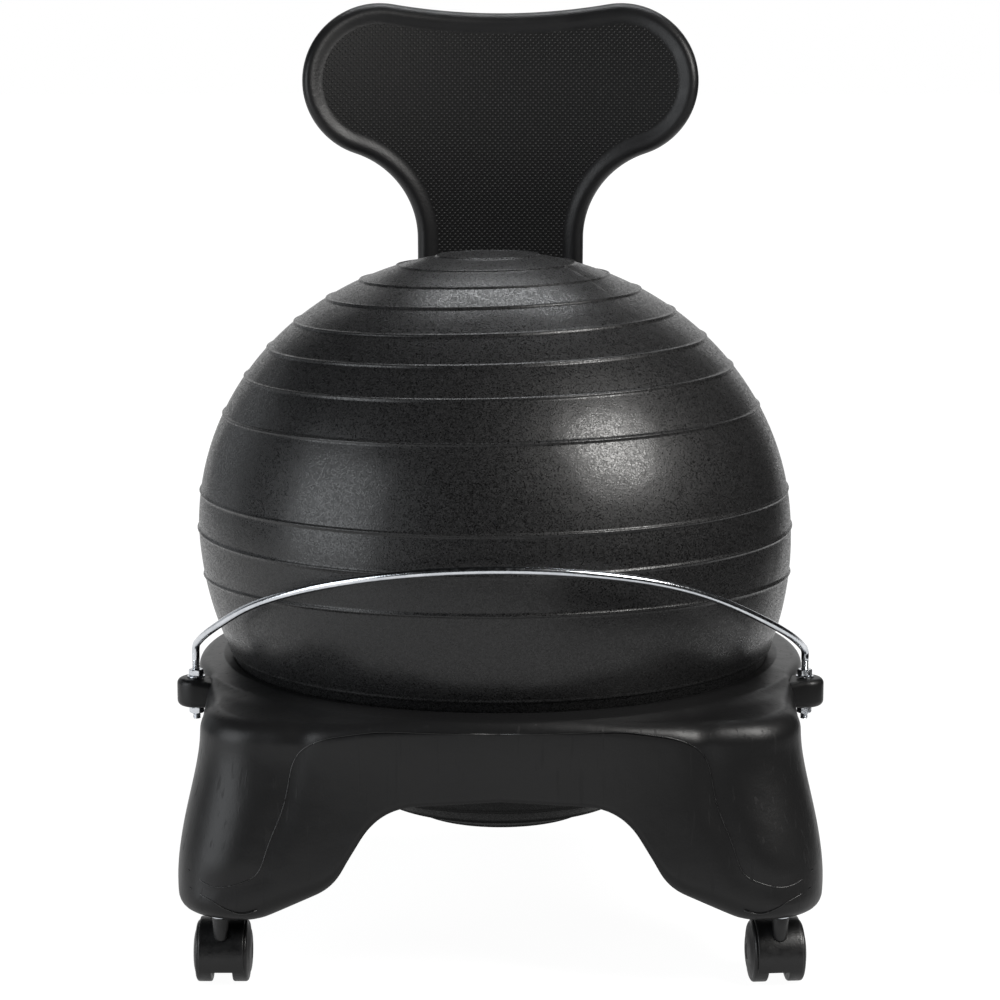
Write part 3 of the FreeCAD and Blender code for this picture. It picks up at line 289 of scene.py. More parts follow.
def near_plane(place, normal, offset, reach):
    """1 on the plane where normal . place = offset, down to 0 at this distance from it."""
    tree = place.id_data
    along = outcome(tree, "VectorMath", "Value", {0: place, 1: normal}, operation="DOT_PRODUCT")
    distance = maths(tree, "ABSOLUTE", maths(tree, "SUBTRACT", along, offset))
    return spread(tree, distance, reach, 0.0, interpolation_type="SMOOTHSTEP")


def roughen(material, amount, low, high):
    """Roughness from low to high by a 0 to 1 amount."""
    tree = material.node_tree
    value = spread(tree, amount, 0.0, 1.0, low, high)
    tree.links.new(value, tree.nodes["Principled BSDF"].inputs["Roughness"])


def tint(material, amount, dark, light):
    """Colour from dark to light by a 0 to 1 amount."""
    tree = material.node_tree
    inputs = {"Factor": amount, "A": (*dark, 1), "B": (*light, 1)}
    mixed = outcome(tree, "Mix", "Result", inputs, data_type="RGBA")
    tree.links.new(mixed, tree.nodes["Principled BSDF"].inputs["Base Color"])


def relief(material, amounts_and_depths):
    """Bumps, one over the other, each a 0 to 1 amount and its depth in metres."""
    tree = material.node_tree
    below = {}
    for amount, depth in amounts_and_depths:
        inputs = {"Distance": depth, "Height": amount, **below}
        below = {"Normal": outcome(tree, "Bump", "Normal", inputs)}
    tree.links.new(below["Normal"], tree.nodes["Principled BSDF"].inputs["Normal"])


vinyl = finish("charcoal_vinyl", (0.007, 0.007, 0.0073), 0.38, specular=0.36)
vinyl_place = object_place(vinyl)
crease = near_plane(vinyl_place, (0.7135, 0.6973, -0.0681), -0.02757, 0.0022)
crease_cap = near_plane(vinyl_place, (0, 0, 1), 0.600, 0.075)
vinyl_seam = maths(vinyl.node_tree, "MULTIPLY", crease, crease_cap)
tint(vinyl, flakes(vinyl_place, 1350), (0, 0, 0), (0.020, 0.020, 0.0207))
roughen(vinyl, flakes(vinyl_place, 1250), 0.18, 0.58)
vinyl_dents, vinyl_grain = noise(vinyl_place, 26, 2), noise(vinyl_place, 700, 1)
relief(vinyl, [(vinyl_dents, 0.0003), (vinyl_grain, 0.00005), (vinyl_seam, 0.0006)])

ridge_height, ridge_width = 0.0013, 0.0012
ball_centre = 0.342
ball_low, ball_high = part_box("exercise_ball")
ball_radius = (ball_high[0] - ball_low[0]) / 2 - ridge_height
lower_ridges = 180 - (9.7 + 7.7 * np.arange(7))[::-1]
upper_ridges = (9.7, 17.3, 24.6, 31.7, 39.6, 47.3, 54.9, 64.1, 81.5, 89.3)
sagging_ridge, ridge_sag, sag_spread = 98.4, 2.1, 4
faint_ridge, faint_share = 113.0, 0.4
ridges = np.hstack([upper_ridges, (sagging_ridge, faint_ridge), lower_ridges])
ridge_shares = np.where(ridges == faint_ridge, faint_share, 1.0)
tilt_angles, tilts = (0, 20, 35, 56, 66, 80), (0, 1.2, 1.9, 1.3, 0.8, 0.2)
near_ridge = (ridges[:, None] + np.linspace(-0.8, 0.8, 9)).ravel()
ball_angles = np.unique(np.hstack([np.linspace(0, 180, 121), near_ridge]))


def ball_settles(height):
    """How far the ball leans to the left: nothing at its seat, then by each step's shift over
    its rise, more towards the top."""
    steps = ((0.230, 0.115, 0.0048), (0.345, 0.235, 0.0035))
    return sum(shift * held((height - start) / rise) for start, rise, shift in steps)


def ball_surface(angles, turns):
    """Two half ellipsoids that meet at the widest ring; each ridge adds height times
    exp(-(distance / width) squared) along the outward direction. The rows near the ridge
    below the widest one are raised at the front and lowered at the rear with it, and the
    upper rows rise towards the right."""
    around = turns[None, :]
    near = np.exp(-(((angles - sagging_ridge) / sag_spread) ** 2))[:, None]
    tilt = np.interp(angles, tilt_angles, tilts)[:, None]
    polar = np.radians(angles[:, None] + ridge_sag * near * np.sin(around) - tilt * np.cos(around))
    away = np.radians(angles[:, None] - ridges[None, :]) * ball_radius
    shares = (ridge_shares * np.exp(-((away / ridge_width) ** 2))).sum(axis=1)
    proud = ridge_height * shares[:, None]
    rise = np.where(np.cos(polar) > 0, ball_high[2] - ball_centre, ball_centre - ball_low[2])
    radius = (ball_radius + proud) * np.sin(polar)
    height = ball_centre + (rise - ridge_height + proud) * np.cos(polar) + 0 * around
    x = radius * np.cos(around) - ball_settles(height)
    return coords(x, radius * np.sin(around), height)


ball = grid_piece("ball_skin", ball_surface(ball_angles, full_turn(256)), vinyl)
dress(ball, "ball", "exercise_ball")


# The base is one hollow blow-moulded piece in black plastic: a ring with a funnel that the ball
# sits in, a bowed apron front and rear, and four legs with soft corners and arches between them.
moulded = finish("base_plastic", (0.008, 0.008, 0.0083), 0.4, specular=0.26)
moulded_place = object_place(moulded)
moulded_dents, moulded_grain = noise(moulded_place, 28, 2), noise(moulded_place, 420, 3)
scuffs = noise(object_place(moulded, (40, 40, 2.2)), 6, 2, 0.62, 0.7)
tint(moulded, noise(moulded_place, 5, 4), (0.0065, 0.0065, 0.0068), (0.0095, 0.0095, 0.0098))
roughen(moulded, scuffs, 0.4, 0.52)
relief(moulded, [(moulded_dents, 0.00035), (moulded_grain, 0.00004), (scuffs, 0.00006)])

foot_z, hip_z, knee_z, waist_z, shoulder_z = 0.064, 0.104, 0.143, 0.180, 0.213
levels = (
    (foot_z, 0.2585, 0.001, 0.036),
    (hip_z, 0.2610, 0.001, 0.058),
    (knee_z, 0.2551, 0.006, 0.064),
    (waist_z, 0.2470, 0.015, 0.062),
    (shoulder_z, 0.2440, 0.021, 0.060),
)
ring_top, ring_reach = 0.2315, 0.262
slope_start, slope_low = 0.240, 0.2245
well_reach, well_top = 0.239, 0.190
wall_blend, edge_ease = 0.003, 0.018
leg_edge, leg_fade, apron_round, leg_rounder = 0.272, 0.030, 0.008, 0.011
foot_high, foot_fade, foot_soft = 0.116, 0.045, 0.005


def smooth_max(one, other, blend):
    """The larger of two values, rounded over where they cross."""
    return (one + other + np.sqrt((one - other) ** 2 + blend ** 2)) / 2


def level_reach(side, bow, corner, turns):
    """Distance from the axis to a square with bowed front and back and round corners. Its
    quarter is a bow arc, a corner arc and a straight side, read off by direction."""
    inner = side - corner
    bow_radius = (inner ** 2 + bow ** 2) / (2 * bow) + corner
    bow_y = side + bow - bow_radius
    corner_y = bow_y + math.sqrt((bow_radius - corner) ** 2 - inner ** 2)
    meet = math.atan2(corner_y - bow_y, inner)
    bow_turn = np.linspace(math.pi / 2, meet, 40)
    corner_turn = np.linspace(meet, 0, 24)
    side_y = np.linspace(corner_y, 0, 90)[1:]
    round_x = inner + corner * np.cos(corner_turn)
    round_y = corner_y + corner * np.sin(corner_turn)
    x = np.hstack([bow_radius * np.cos(bow_turn), round_x, np.full_like(side_y, side)])
    y = np.hstack([bow_y + bow_radius * np.sin(bow_turn), round_y, side_y])
    folded = np.arctan2(np.abs(np.sin(turns)), np.abs(np.cos(turns)))
    direction = np.arctan2(y, x)[::-1]
    return np.interp(folded, direction, np.hypot(x, y)[::-1])


def skirt_reach(turns, height):
    """The skirt's outer distance at a height: a smooth curve through its five levels."""
    heights = [level[0] for level in levels]
    reach = 0
    for number, (own, side, bow, corner) in enumerate(levels):
        share = 1.0
        for other_number, other in enumerate(heights):
            if other_number != number:
                share = share * (height - other) / (own - other)
        reach = reach + share * level_reach(side, bow, corner, turns)
    return reach


def ring_side(height):
    """The ring's outer wall: upright, then drawn in underneath."""
    return np.interp(height, (0.160, 0.176, 0.196), (0.200, 0.243, ring_reach))


def soft_polyline(corners, reaches, steps=7):
    """A line through corners with each one rounded by a parabola that starts reach before it."""
    corners = np.array(corners)
    runs = [corners[:1]]
    share = np.linspace(0, 1, steps)[:, None]
    for number in range(1, len(corners) - 1):
        here = corners[number]
        back = corners[number - 1] - here
        ahead = corners[number + 1] - here
        reach = reaches[number]
        start = here + back * min(reach / np.linalg.norm(back), 0.5)
        stop = here + ahead * min(reach / np.linalg.norm(ahead), 0.5)
        runs.append((1 - share) ** 2 * start + 2 * share * (1 - share) * here + share ** 2 * stop)
    runs.append(corners[-1:])
    return np.vstack(runs)


arch_corners = ((0, 0.164), (0.097, 0.158), (0.137, 0.093), (0.204, foot_z), (0.4, foot_z))
arch_line = soft_polyline(arch_corners, (0, 0.030, 0.019, 0.010, 0), 12)


def underside(x, y):
    """Height of the base's underside: the arch seen from the front or from the side,
    whichever is higher."""
    front, side = (np.interp(np.abs(away), *arch_line.T) for away in (x, y))
    return smooth_max(front, side, 0.002)


def base_top(reach, edge):
    """Height of the base's top: nearly level round the ball, then a slope down to the legs'
    shoulders, with a rounded outer edge that is tighter over the aprons."""
    ring = ring_top - 0.08 * held(reach - slope_start)
    ring = ring - 0.5 * held(reach - ring_reach)
    top = smooth_max(ring, slope_low, 0.004)
    leg = held((edge - leg_edge) / leg_fade)
    edge_round = apron_round + leg_rounder * leg ** 2 * (3 - 2 * leg)
    past = np.clip(reach - (edge - edge_round), 0, edge_round)
    return top - edge_round + np.sqrt(edge_round ** 2 - past ** 2)


seam_lines = {
    "apron_seam": (
        (0, 0.2212), (0.047, 0.2214), (0.096, 0.2222), (0.139, 0.2150), (0.158, 0.205),
        (0.1655, 0.192), (0.169, 0.171), (0.1725, 0.156), (0.184, 0.1295), (0.1915, 0.105),
        (0.206, 0.098), (0.228, 0.092), (0.250, 0.103),
    ),
    "foot_seam": ((0.1935, 0.076), (0.206, 0.072), (0.221, 0.078), (0.227, 0.082), (0.248, 0.090)),
}
hollow_line = np.array([(0.155, 0.240), (0.158, 0.212), *seam_lines["apron_seam"][5:12]])
hollow_depth, hollow_width = 0.0021, 0.0110
hollow_reach, hollow_top, hollow_drop = 0.250, 0.205, 0.7


def soft_hollow(x, z):
    """Depth of the soft hollow between an apron and a leg, which climbs over the crest: full on
    its line and fading with the distance from it in X and Z."""
    start, run = hollow_line[:-1], np.diff(hollow_line, axis=0)
    away = coords(np.abs(x), z)[..., None, :] - start
    along = held((away * run).sum(axis=-1) / (run ** 2).sum(axis=-1))
    distance = np.linalg.norm(away - along[..., None] * run, axis=-1).min(axis=-1)
    return hollow_depth * np.exp(-((distance / hollow_width) ** 2))


def wall_reach(turns, height, start, edge):
    """The outer wall's distance: skirt or ring, whichever is further, eased into the top's
    edge over the 18 mm below it."""
    first = smooth_max(skirt_reach(turns, start), ring_side(start), wall_blend)
    wall = smooth_max(skirt_reach(turns, height), ring_side(height), wall_blend)
    fade = held(1 - (start - height) / edge_ease) ** 2
    return wall + (edge - first) * fade


def top_edge(turns):
    """Distance and height of the line where the top's rounding meets the outer wall."""
    skirt = skirt_reach(turns, shoulder_z - apron_round)
    edge = smooth_max(skirt, ring_reach * np.ones_like(turns), 0.004)
    return edge, base_top(edge, edge)


def base_surface(turns):
    """The base's closed profile for each direction, as rows of distance and height: seat and
    funnel, crest and shoulder, outer wall, rounded underside, inner wall."""
    ones = np.ones_like(turns)
    funnel = ((0.2249, 0.1995), (0.2199, 0.2065), (0.2232, 0.2165), (0.2310, 0.2300))
    seat = [(well_reach, well_top), *funnel, (slope_start, ring_top)]
    seat = soft_polyline(seat, (0, 0.003, 0.002, 0.002, 0.003, 0))
    rows = [(reach * ones, height * ones) for reach, height in seat]
    edge, start = top_edge(turns)
    share = 1 - np.linspace(1, 0, 36)[:, None] ** 1.6
    crest = slope_start + 0.001
    top_reach = crest + (edge - crest) * share
    rows += list(zip(top_reach, base_top(top_reach, edge)))
    lower = foot_z * ones
    for _ in range(6):
        foot_reach = np.maximum(skirt_reach(turns, lower + 0.01), ring_side(lower + 0.01))
        lower = underside(foot_reach * np.cos(turns), foot_reach * np.sin(turns))
    leg = held((foot_high - lower) / foot_fade)
    foot_round = foot_soft + leg_rounder * leg ** 2 * (3 - 2 * leg)
    wall_low = lower + foot_round
    wall_z = start + (wall_low - start) * np.linspace(0, 1, 30)[1:, None]
    wall = wall_reach(turns, wall_z, start, edge)
    rows += list(zip(wall, wall_z))
    bend = np.linspace(0, np.pi / 2, 8)[1:, None]
    outer = wall[-1] - foot_round * (1 - np.cos(bend))
    rows += list(zip(outer, wall_low - foot_round * np.sin(bend)))
    under_share = np.linspace(0, 1, 14)[1:, None]
    under_reach = outer[-1] + (well_reach - outer[-1]) * under_share
    under = underside(under_reach * np.cos(turns), under_reach * np.sin(turns))
    met = underside(outer[-1] * np.cos(turns), outer[-1] * np.sin(turns))
    settle = (lower - met) * (1 - under_share) ** 2
    under_z = under + settle + 0.003 * held(under_share * 14 - 13)
    rows += list(zip(under_reach, under_z))
    inner_low = under_z[-1]
    climb = np.linspace(0, 1, 8)[1:-1, None]
    rows += [(well_reach * ones, row) for row in inner_low + (well_top - inner_low) * climb]
    reach = np.array([row[0] for row in rows])
    height = np.array([row[1] for row in rows])
    hollow = held((reach - hollow_reach) / 0.02)
    hollow = hollow * soft_hollow(reach * np.cos(turns), height)
    height = height - hollow_drop * hollow * held((height - hollow_top) / 0.01)
    reach = reach - hollow
    return coords(reach * np.cos(turns), reach * np.sin(turns), height)


base = grid_piece("base_shell", base_surface(full_turn(720)), moulded, ring_rows=True)
dress(base, "root", "base_frame")

seam_radius = 0.0005


def cloudy(material, colours, roughness=None, grain=None):
    """This material with noise over it. Each kind is its scale and detail, and then its dark
    and light colour, its low and high roughness or its depth."""
    place = object_place(material)
    tint(material, noise(place, *colours[:2]), *colours[2:])
    if roughness:
        roughen(material, noise(place, *roughness[:2]), *roughness[2:])
    if grain:
        relief(material, [(noise(place, *grain[:2]), grain[2])])
    return material


# The flash lines are thin raised beads of the base's own plastic. Their colour is painted far
# darker than the base's, as painted shade of the crease along each line.
flash_with_painted_shade = cloudy(
    finish("flash_line_painted_shade", (0.002, 0.002, 0.0021), 0.24),
    (60, 3, (0.001, 0.001, 0.0011), (0.004, 0.004, 0.0042)),
    (90, 2, 0.24, 0.42),
    (90, 2, 0.0001),
)


def on_front_wall(x, z):
    """Points of the base's front wall that are at x and z, found by stepping the direction
    until the wall's distance there gives that x."""
    turns = np.arctan2(-0.25, x)
    for _ in range(12):
        edge, start = top_edge(turns)
        reach = wall_reach(turns, np.minimum(z, start), start, edge) - soft_hollow(x, z)
        turns = -np.arccos(np.clip(x / reach, -1, 1))
    return coords(x, reach * np.sin(turns), z)


def unit(vectors):
    """These vectors, each drawn to length 1."""
    return vectors / np.linalg.norm(vectors, axis=1)[:, None]


def sweep(path, radius, first, second, turn):
    """A tube round a path: at each point radius times (cos(turn) first + sin(turn) second)."""
    cos, sin = np.cos(turn)[None, :, None], np.sin(turn)[None, :, None]
    return path[:, None] + radius * (cos * first[:, None] + sin * second[:, None])


def seam_tube(path):
    """A thin round tube along a path that runs over an upright face."""
    tangent = unit(np.gradient(path, axis=0))
    out = unit(np.cross(tangent, np.cross(path * (1, 1, 0), tangent)))
    return sweep(path, seam_radius, out, np.cross(tangent, out), full_turn(8))


sides = ((-1, "left"), (1, "right"))
for name, corners in seam_lines.items():
    line = soft_polyline(corners, [0.012] * len(corners), 9)
    for side, word in sides[::-1]:
        run = on_front_wall(*line.T) * (side, 1, 1)
        seam = grid_piece(f"{name}_{word}", seam_tube(run), flash_with_painted_shade, capped=True)
        dress(seam, "root", "base_frame")


# Two lugs are moulded with the base, in the same plastic. They stand out of its sides, and the
# threaded ends of the steel rod go down through them.
lug_x, lug_y, lug_radius = 0.256, -0.100, 0.016
lug_low, lug_high, lug_root, root_drop = 0.205, 0.229, 0.222, 0.007


def soft_ends(low, high, soft, last_inset, steps):
    """How far in and how high each row of a block is: quarter circles at both ends, and a last
    row further in that closes them."""
    rounding = np.linspace(0, np.pi / 2, steps)
    drawn_in, rise = soft * (1 - np.sin(rounding)), soft * (1 - np.cos(rounding))
    inset = np.hstack([[last_inset], drawn_in, drawn_in[::-1], [last_inset]])
    return inset, np.hstack([[low], low + rise, high - rise[::-1], [high]])


def lug_surface(side):
    """A level outline, a half circle round the rod and two straight flanks, carried up and
    drawn in at its top and bottom edges by a quarter circle. Inwards of the half circle the
    top lies lower, by root_drop."""
    turn = np.linspace(-np.pi / 2, np.pi / 2, 33)
    inset, height = soft_ends(lug_low, lug_high, 0.005, 0.014, 7)
    height = height[::-1]
    radius = (lug_radius - inset)[:, None]
    x = lug_x + radius * np.cos(turn)
    y = lug_y + radius * np.sin(turn)
    root = np.full_like(radius, lug_root)
    x = np.hstack([root, x, root])
    y = np.hstack([lug_y - radius, y, lug_y + radius])
    upper = height[:, None] > (lug_low + lug_high) / 2
    z = height[:, None] - root_drop * (x < lug_x - 0.001) * upper
    return coords(side * x, y, z)


for side, word in sides:
    lug = grid_piece(f"rod_lug_{word}", lug_surface(side), moulded, capped=True, sharp=40)
    dress(lug, "root", "base_frame")

# The pad at the rear is moulded with the base too. It is the seat that the backrest's neck
# is bolted to, and it has the backrest's bend.
back_face, back_bend_radius = 0.2726, 0.620


def pad_surface():
    """A box with soft edges, half 66 mm wide, whose outer face follows the backrest's bend."""
    half, low, high, root, soft = 0.066, 0.166, 0.222, 0.225, 0.008
    inset_end, inset_most, inset_scale = 0.02, 0.0199, 0.022
    depth = soft_polyline([(0, root), (0, back_face), (-inset_end, back_face)], (0, 0.003, 0))
    inset = np.minimum(-depth[:, 0], inset_most)
    corners = [(0, low), (half, low), (half, high), (-half, high), (-half, low), (0, low)]
    section = soft_polyline(corners, (0, soft, soft, soft, soft, 0))
    middle = np.array([0, (low + high) / 2])
    shrink = 1 - inset[:, None, None] / inset_scale
    outline = middle + (section - middle)[None] * shrink
    bend = back_bend_radius - np.sqrt(back_bend_radius ** 2 - outline[..., 0] ** 2)
    y = depth[:, 1][:, None] - bend
    return coords(outline[..., 0], y, outline[..., 1])


pad = grid_piece("backrest_pad", pad_surface()[:, :-1], moulded, capped=True, sharp=50)
dress(pad, "root", "base_frame")


# The backrest is one hollow T-shaped panel, curved to the back, with a rounded rim and a
# slightly sunken front that is covered with fine raised dots. The dots are painted lighter
# than the ground between them, as painted highlights.
back_plastic = cloudy(
    finish("backrest_plastic", (0.006, 0.006, 0.0064), 0.42, specular=0.30),
    (6, 4, (0.005, 0.005, 0.0054), (0.0075, 0.0075, 0.008)),
    (40, 3, 0.38, 0.48),
    (420, 3, 0.00008),
)

dotted_painted_glints = finish("dotted_plastic_painted_glints", (0.005, 0.005, 0.0052), 0.5, specular=0.25)
dot_pitch = 0.00354


def dot_pattern():
    """1 on each dot of a diagonal grid in X and Z: the distance to the middle of the cell
    that a point falls in, turned by 45 degrees, compared with the dot's radius."""
    tree = dotted_painted_glints.node_tree
    level = {0: outcome(tree, "TexCoord", "Object"), 1: (1, 0, 1)}
    flat = outcome(tree, "VectorMath", "Vector", level, operation="MULTIPLY")
    turn, stretch = (0, math.radians(45), 0), (1 / dot_pitch, 0, 1 / dot_pitch)
    inputs = {"Vector": flat, "Rotation": turn, "Scale": stretch}
    grid = outcome(tree, "Mapping", "Vector", inputs)
    cell = outcome(tree, "VectorMath", "Vector", {0: grid}, operation="FRACTION")
    ends = {0: cell, 1: (0.5, 0, 0.5)}
    away = outcome(tree, "VectorMath", "Value", ends, operation="DISTANCE")
    return spread(tree, away, 0.36, 0.06, interpolation_type="SMOOTHSTEP")


dots, dotted_grain = dot_pattern(), noise(object_place(dotted_painted_glints), 420, 3)
# Painted highlights: each dot is coloured much lighter than the ground between the dots.
tint(dotted_painted_glints, dots, (0.0015, 0.0015, 0.0016), (0.013, 0.013, 0.0133))
roughen(dotted_painted_glints, dots, 0.56, 0.42)
relief(dotted_painted_glints, [(dotted_grain, 0.00005), (dots, 0.0005)])

neck_half, neck_foot, neck_fillet, foot_corner = 0.078, 0.164, 0.084, 0.026
lobe_x, lobe_z, lobe_radius, saddle_z = 0.112, 0.719, 0.071, 0.7807
back_thickness, rim_round = 0.024, 0.009
bend_centre_y = back_face - back_bend_radius


def arc(x, z, radius, turns):
    """Points of a circle round x and z, in these directions."""
    return coords(x + radius * np.cos(turns), z + radius * np.sin(turns))


def side_line(inset):
    """The right edge of the T from its foot to the top of its lobe, drawn in by inset: foot
    corner, neck, hollow fillet, lobe."""
    neck = neck_half - inset
    fillet = neck_fillet + inset
    lobe = lobe_radius - inset
    fillet_x = neck + fillet
    fillet_z = lobe_z - math.sqrt((lobe + fillet) ** 2 - (fillet_x - lobe_x) ** 2)
    meet = math.atan2(fillet_z - lobe_z, fillet_x - lobe_x)
    corner = foot_corner - inset
    corner_z = neck_foot + inset + corner
    foot = arc(neck - corner, corner_z, corner, np.linspace(-np.pi / 2, 0, 14))
    neck_z = np.linspace(corner_z, fillet_z, 72)[1:-1]
    neck_run = coords(np.full_like(neck_z, neck), neck_z)
    hollow = arc(fillet_x, fillet_z, fillet, np.linspace(np.pi, np.pi + meet, 40))
    round_end = arc(lobe_x, lobe_z, lobe, np.linspace(meet, np.pi / 2, 84)[1:])
    return np.vstack([foot, neck_run, hollow, round_end])


def top_height(x, inset):
    """The T's top edge between its lobes, drawn in by inset: the hollow saddle arc and the
    start of each lobe's round."""
    gap = saddle_z - lobe_z
    saddle = (lobe_x ** 2 + gap ** 2 - lobe_radius ** 2) / (2 * (lobe_radius - gap))
    centre = lobe_z + gap + saddle
    lobe = lobe_radius - inset
    across = np.abs(x)
    dip = centre - np.sqrt((saddle + inset) ** 2 - across ** 2)
    crown = lobe_z + np.sqrt(np.maximum(lobe ** 2 - (across - lobe_x) ** 2, 0))
    meet = lobe_x * (1 - lobe / (lobe_radius + saddle))
    return np.where(across < meet, dip, crown)


def front_depth(height):
    """How far back the panel's front face is at a height: upright, bent forward by the lower
    arc, leaning, then bent back by the upper arc."""
    lean = math.radians(9)
    low_start, low_radius, lean_top, high_radius = 0.345, 0.400, 0.600, 0.500
    low_stop = low_start + low_radius * math.sin(lean)
    low_y = back_face - low_radius * (1 - math.cos(lean))
    high_y = low_y - (lean_top - low_stop) * math.tan(lean)
    centre_z = lean_top + high_radius * math.sin(lean)
    centre_y = high_y + high_radius * math.cos(lean)
    past = np.clip(height - low_start, 0, low_stop - low_start)
    lower = back_face - low_radius + np.sqrt(low_radius ** 2 - past ** 2)
    leaning = low_y - (height - low_stop) * math.tan(lean)
    upper = centre_y - np.sqrt(high_radius ** 2 - (height - centre_z) ** 2 * (height > lean_top))
    limits = [height < low_start, height < low_stop, height < lean_top]
    return np.select(limits, [back_face, lower, leaning], upper)


def on_panel(x, z, depth):
    """A point of the panel at x and z, this far behind its front face."""
    reach = front_depth(z) - bend_centre_y + depth
    return coords(x, bend_centre_y + np.sqrt(reach ** 2 - x ** 2), z)


def outline_loop(inset):
    """The whole outline drawn in by inset, as x and z: foot, right side, top, left side."""
    side = side_line(inset)
    across = np.linspace(1, -1, 61)[1:-1]
    top_x = across * lobe_x
    top = coords(top_x, top_height(top_x, inset))
    foot_x = np.linspace(-1, 1, 61)[1:-1] * side[0, 0]
    foot = coords(foot_x, np.full_like(foot_x, side[0, 1]))
    return np.vstack([side, top, side[::-1] * (-1, 1), foot])


def inner_patch(inset, depth):
    """The face inside the band: rows straight across, bent near the top to follow the saddle."""
    bend_run = 0.05
    side = side_line(inset)
    across = np.linspace(-1, 1, 61)[None, :]
    x = side[:, :1] * across
    blend = held((side[:, 1:] - (lobe_z - bend_run)) / (side[-1, 1] - lobe_z + bend_run))
    dip = side[-1, 1] - top_height(across * lobe_x, inset)
    z = side[:, 1:] - dip * blend ** 2 * (3 - 2 * blend)
    return on_panel(x, z, depth)


panel_inset, panel_depth, inner_inset = 0.0190, 0.0024, 0.0235
crest_inset, rim_drop = 0.0085, 0.0110
inward, outward = np.linspace(np.pi, 0, 12)[:-1], np.linspace(0, np.pi / 2, 12)
rear_bend, step, rear_step = np.linspace(np.pi / 2, 0, 9), 0.0006, 0.003
rise_inset = crest_inset + (panel_inset - crest_inset) * inward / np.pi
fall_inset, rear_inset = crest_inset * (1 - np.sin(outward)), rim_round * (1 - np.sin(rear_bend))
front_insets, rear_insets = (inner_inset, panel_inset + step), (rim_round + rear_step, inner_inset)
band_inset = np.hstack([front_insets, rise_inset, fall_inset, rear_inset, rear_insets])
rise_depth, fall_depth = panel_depth * (1 - np.cos(inward)) / 2, rim_drop * (1 - np.cos(outward))
rear_depth = back_thickness - rim_round * (1 - np.cos(rear_bend))
front_depths, rear_depths = (panel_depth, panel_depth), (back_thickness, back_thickness)
band_depth = np.hstack([front_depths, rise_depth, fall_depth, rear_depth, rear_depths])
loops = [outline_loop(inset) for inset in band_inset]
band = np.array([on_panel(*loop.T, depth) for loop, depth in zip(loops, band_depth)])
front_patch = inner_patch(inner_inset, panel_depth)
rear_patch = inner_patch(inner_inset, back_thickness)
back_points = [grid.reshape(-1, 3) for grid in (band, front_patch, rear_patch)]
band_faces = grid_faces(*band.shape[:2], ring_columns=True)
patch_faces = grid_faces(*front_patch.shape[:2])
starts = np.cumsum([len(points) for points in back_points])
back_faces = np.vstack([band_faces, patch_faces + starts[0], patch_faces + starts[1]])
dotted_faces = [2 * band.shape[1], len(band_faces), len(band_faces) + len(patch_faces)]
back_slots = np.zeros(len(back_faces), dtype=int)
back_slots[: dotted_faces[0]] = 1
back_slots[dotted_faces[1] : dotted_faces[2]] = 1
back_materials = [back_plastic, dotted_painted_glints]
backrest = add_mesh("backrest_shell", np.vstack(back_points), back_faces.tolist(), back_materials)
backrest.data.polygons.foreach_set("material_index", back_slots)
seal(backrest)
dress(backrest, "root", "backrest_panel")


# The rod is plated steel, bent tight at each side and in one wide arc over the front of the
# ball. Its ends are threaded and go down through the lugs.
steel = cloudy(
    finish("plated_steel", (0.55, 0.57, 0.6), 0.2, metallic=1.0),
    (90, 3, (0.48, 0.5, 0.53), (0.6, 0.62, 0.65)),
    (300, 3, 0.14, 0.26),
    (700, 2, 0.00004),
)

rod_radius = 0.0032
rod_corner_z, rod_apex_z, rod_apex_y = 0.258, 0.354, -0.275
rod_bend, rod_straight = 0.011, 0.015
thread_pitch, thread_depth, thread_top, thread_fade, end_share = 0.00125, 0.00045, 0.244, 6, 0.8
droop_low, droop_rise = 0.246, 0.012
droops = ((0.225, 0.060, 0.0075), (-0.235, 0.025, 0.0030))


def rod_path():
    """Points from the right foot to the left: upright, bend, short straight, wide arc, and the
    same again in reverse. Each droop lowers it by depth times exp(-((x - middle) / width)
    squared), from the bends on."""
    corner = np.array([lug_x, lug_y, rod_corner_z])
    rise = np.array([0, rod_apex_y - lug_y, rod_apex_z - rod_corner_z])
    height = np.linalg.norm(rise)
    rise = rise / height
    turn = 2 * math.atan2(height, lug_x + rod_straight)
    across = np.array([-1.0, 0, 0])
    heading = across * math.cos(turn) + rise * math.sin(turn)
    upward = np.array([0, 0, 1.0])
    reach = rod_bend * math.tan(math.acos(heading @ upward) / 2)
    low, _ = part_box("retaining_rod")
    start = corner - upward * reach
    threads = int((thread_top - low[2]) / thread_pitch * 8)
    plain = np.linspace(thread_top, start[2], 6)[1:]
    legs = np.hstack([np.linspace(low[2], thread_top, threads), plain])
    upright_run = coords(np.full_like(legs, lug_x), np.full_like(legs, lug_y), legs)
    share = np.linspace(0, 1, 12)[1:, None]
    stop = corner + heading * reach
    bend_run = (1 - share) ** 2 * start + 2 * share * (1 - share) * corner + share ** 2 * stop
    arc_radius = (lug_x - rod_straight * math.cos(turn)) / math.sin(turn)
    swing = np.linspace(turn, 0, 90)[:, None]
    middle = np.array([0, rod_apex_y, rod_apex_z]) - rise * arc_radius
    wide_run = middle - across * arc_radius * np.sin(swing) + rise * arc_radius * np.cos(swing)
    right = np.vstack([upright_run, bend_run, wide_run])
    path = np.vstack([right, right[-2::-1] * (-1, 1, 1)])
    above = held((path[:, 2] - droop_low) / droop_rise)
    droop = 0
    for middle, width, depth in droops:
        droop = droop + depth * np.exp(-(((path[:, 0] - middle) / width) ** 2))
    path[:, 2] -= droop * above
    return path, rise, threads


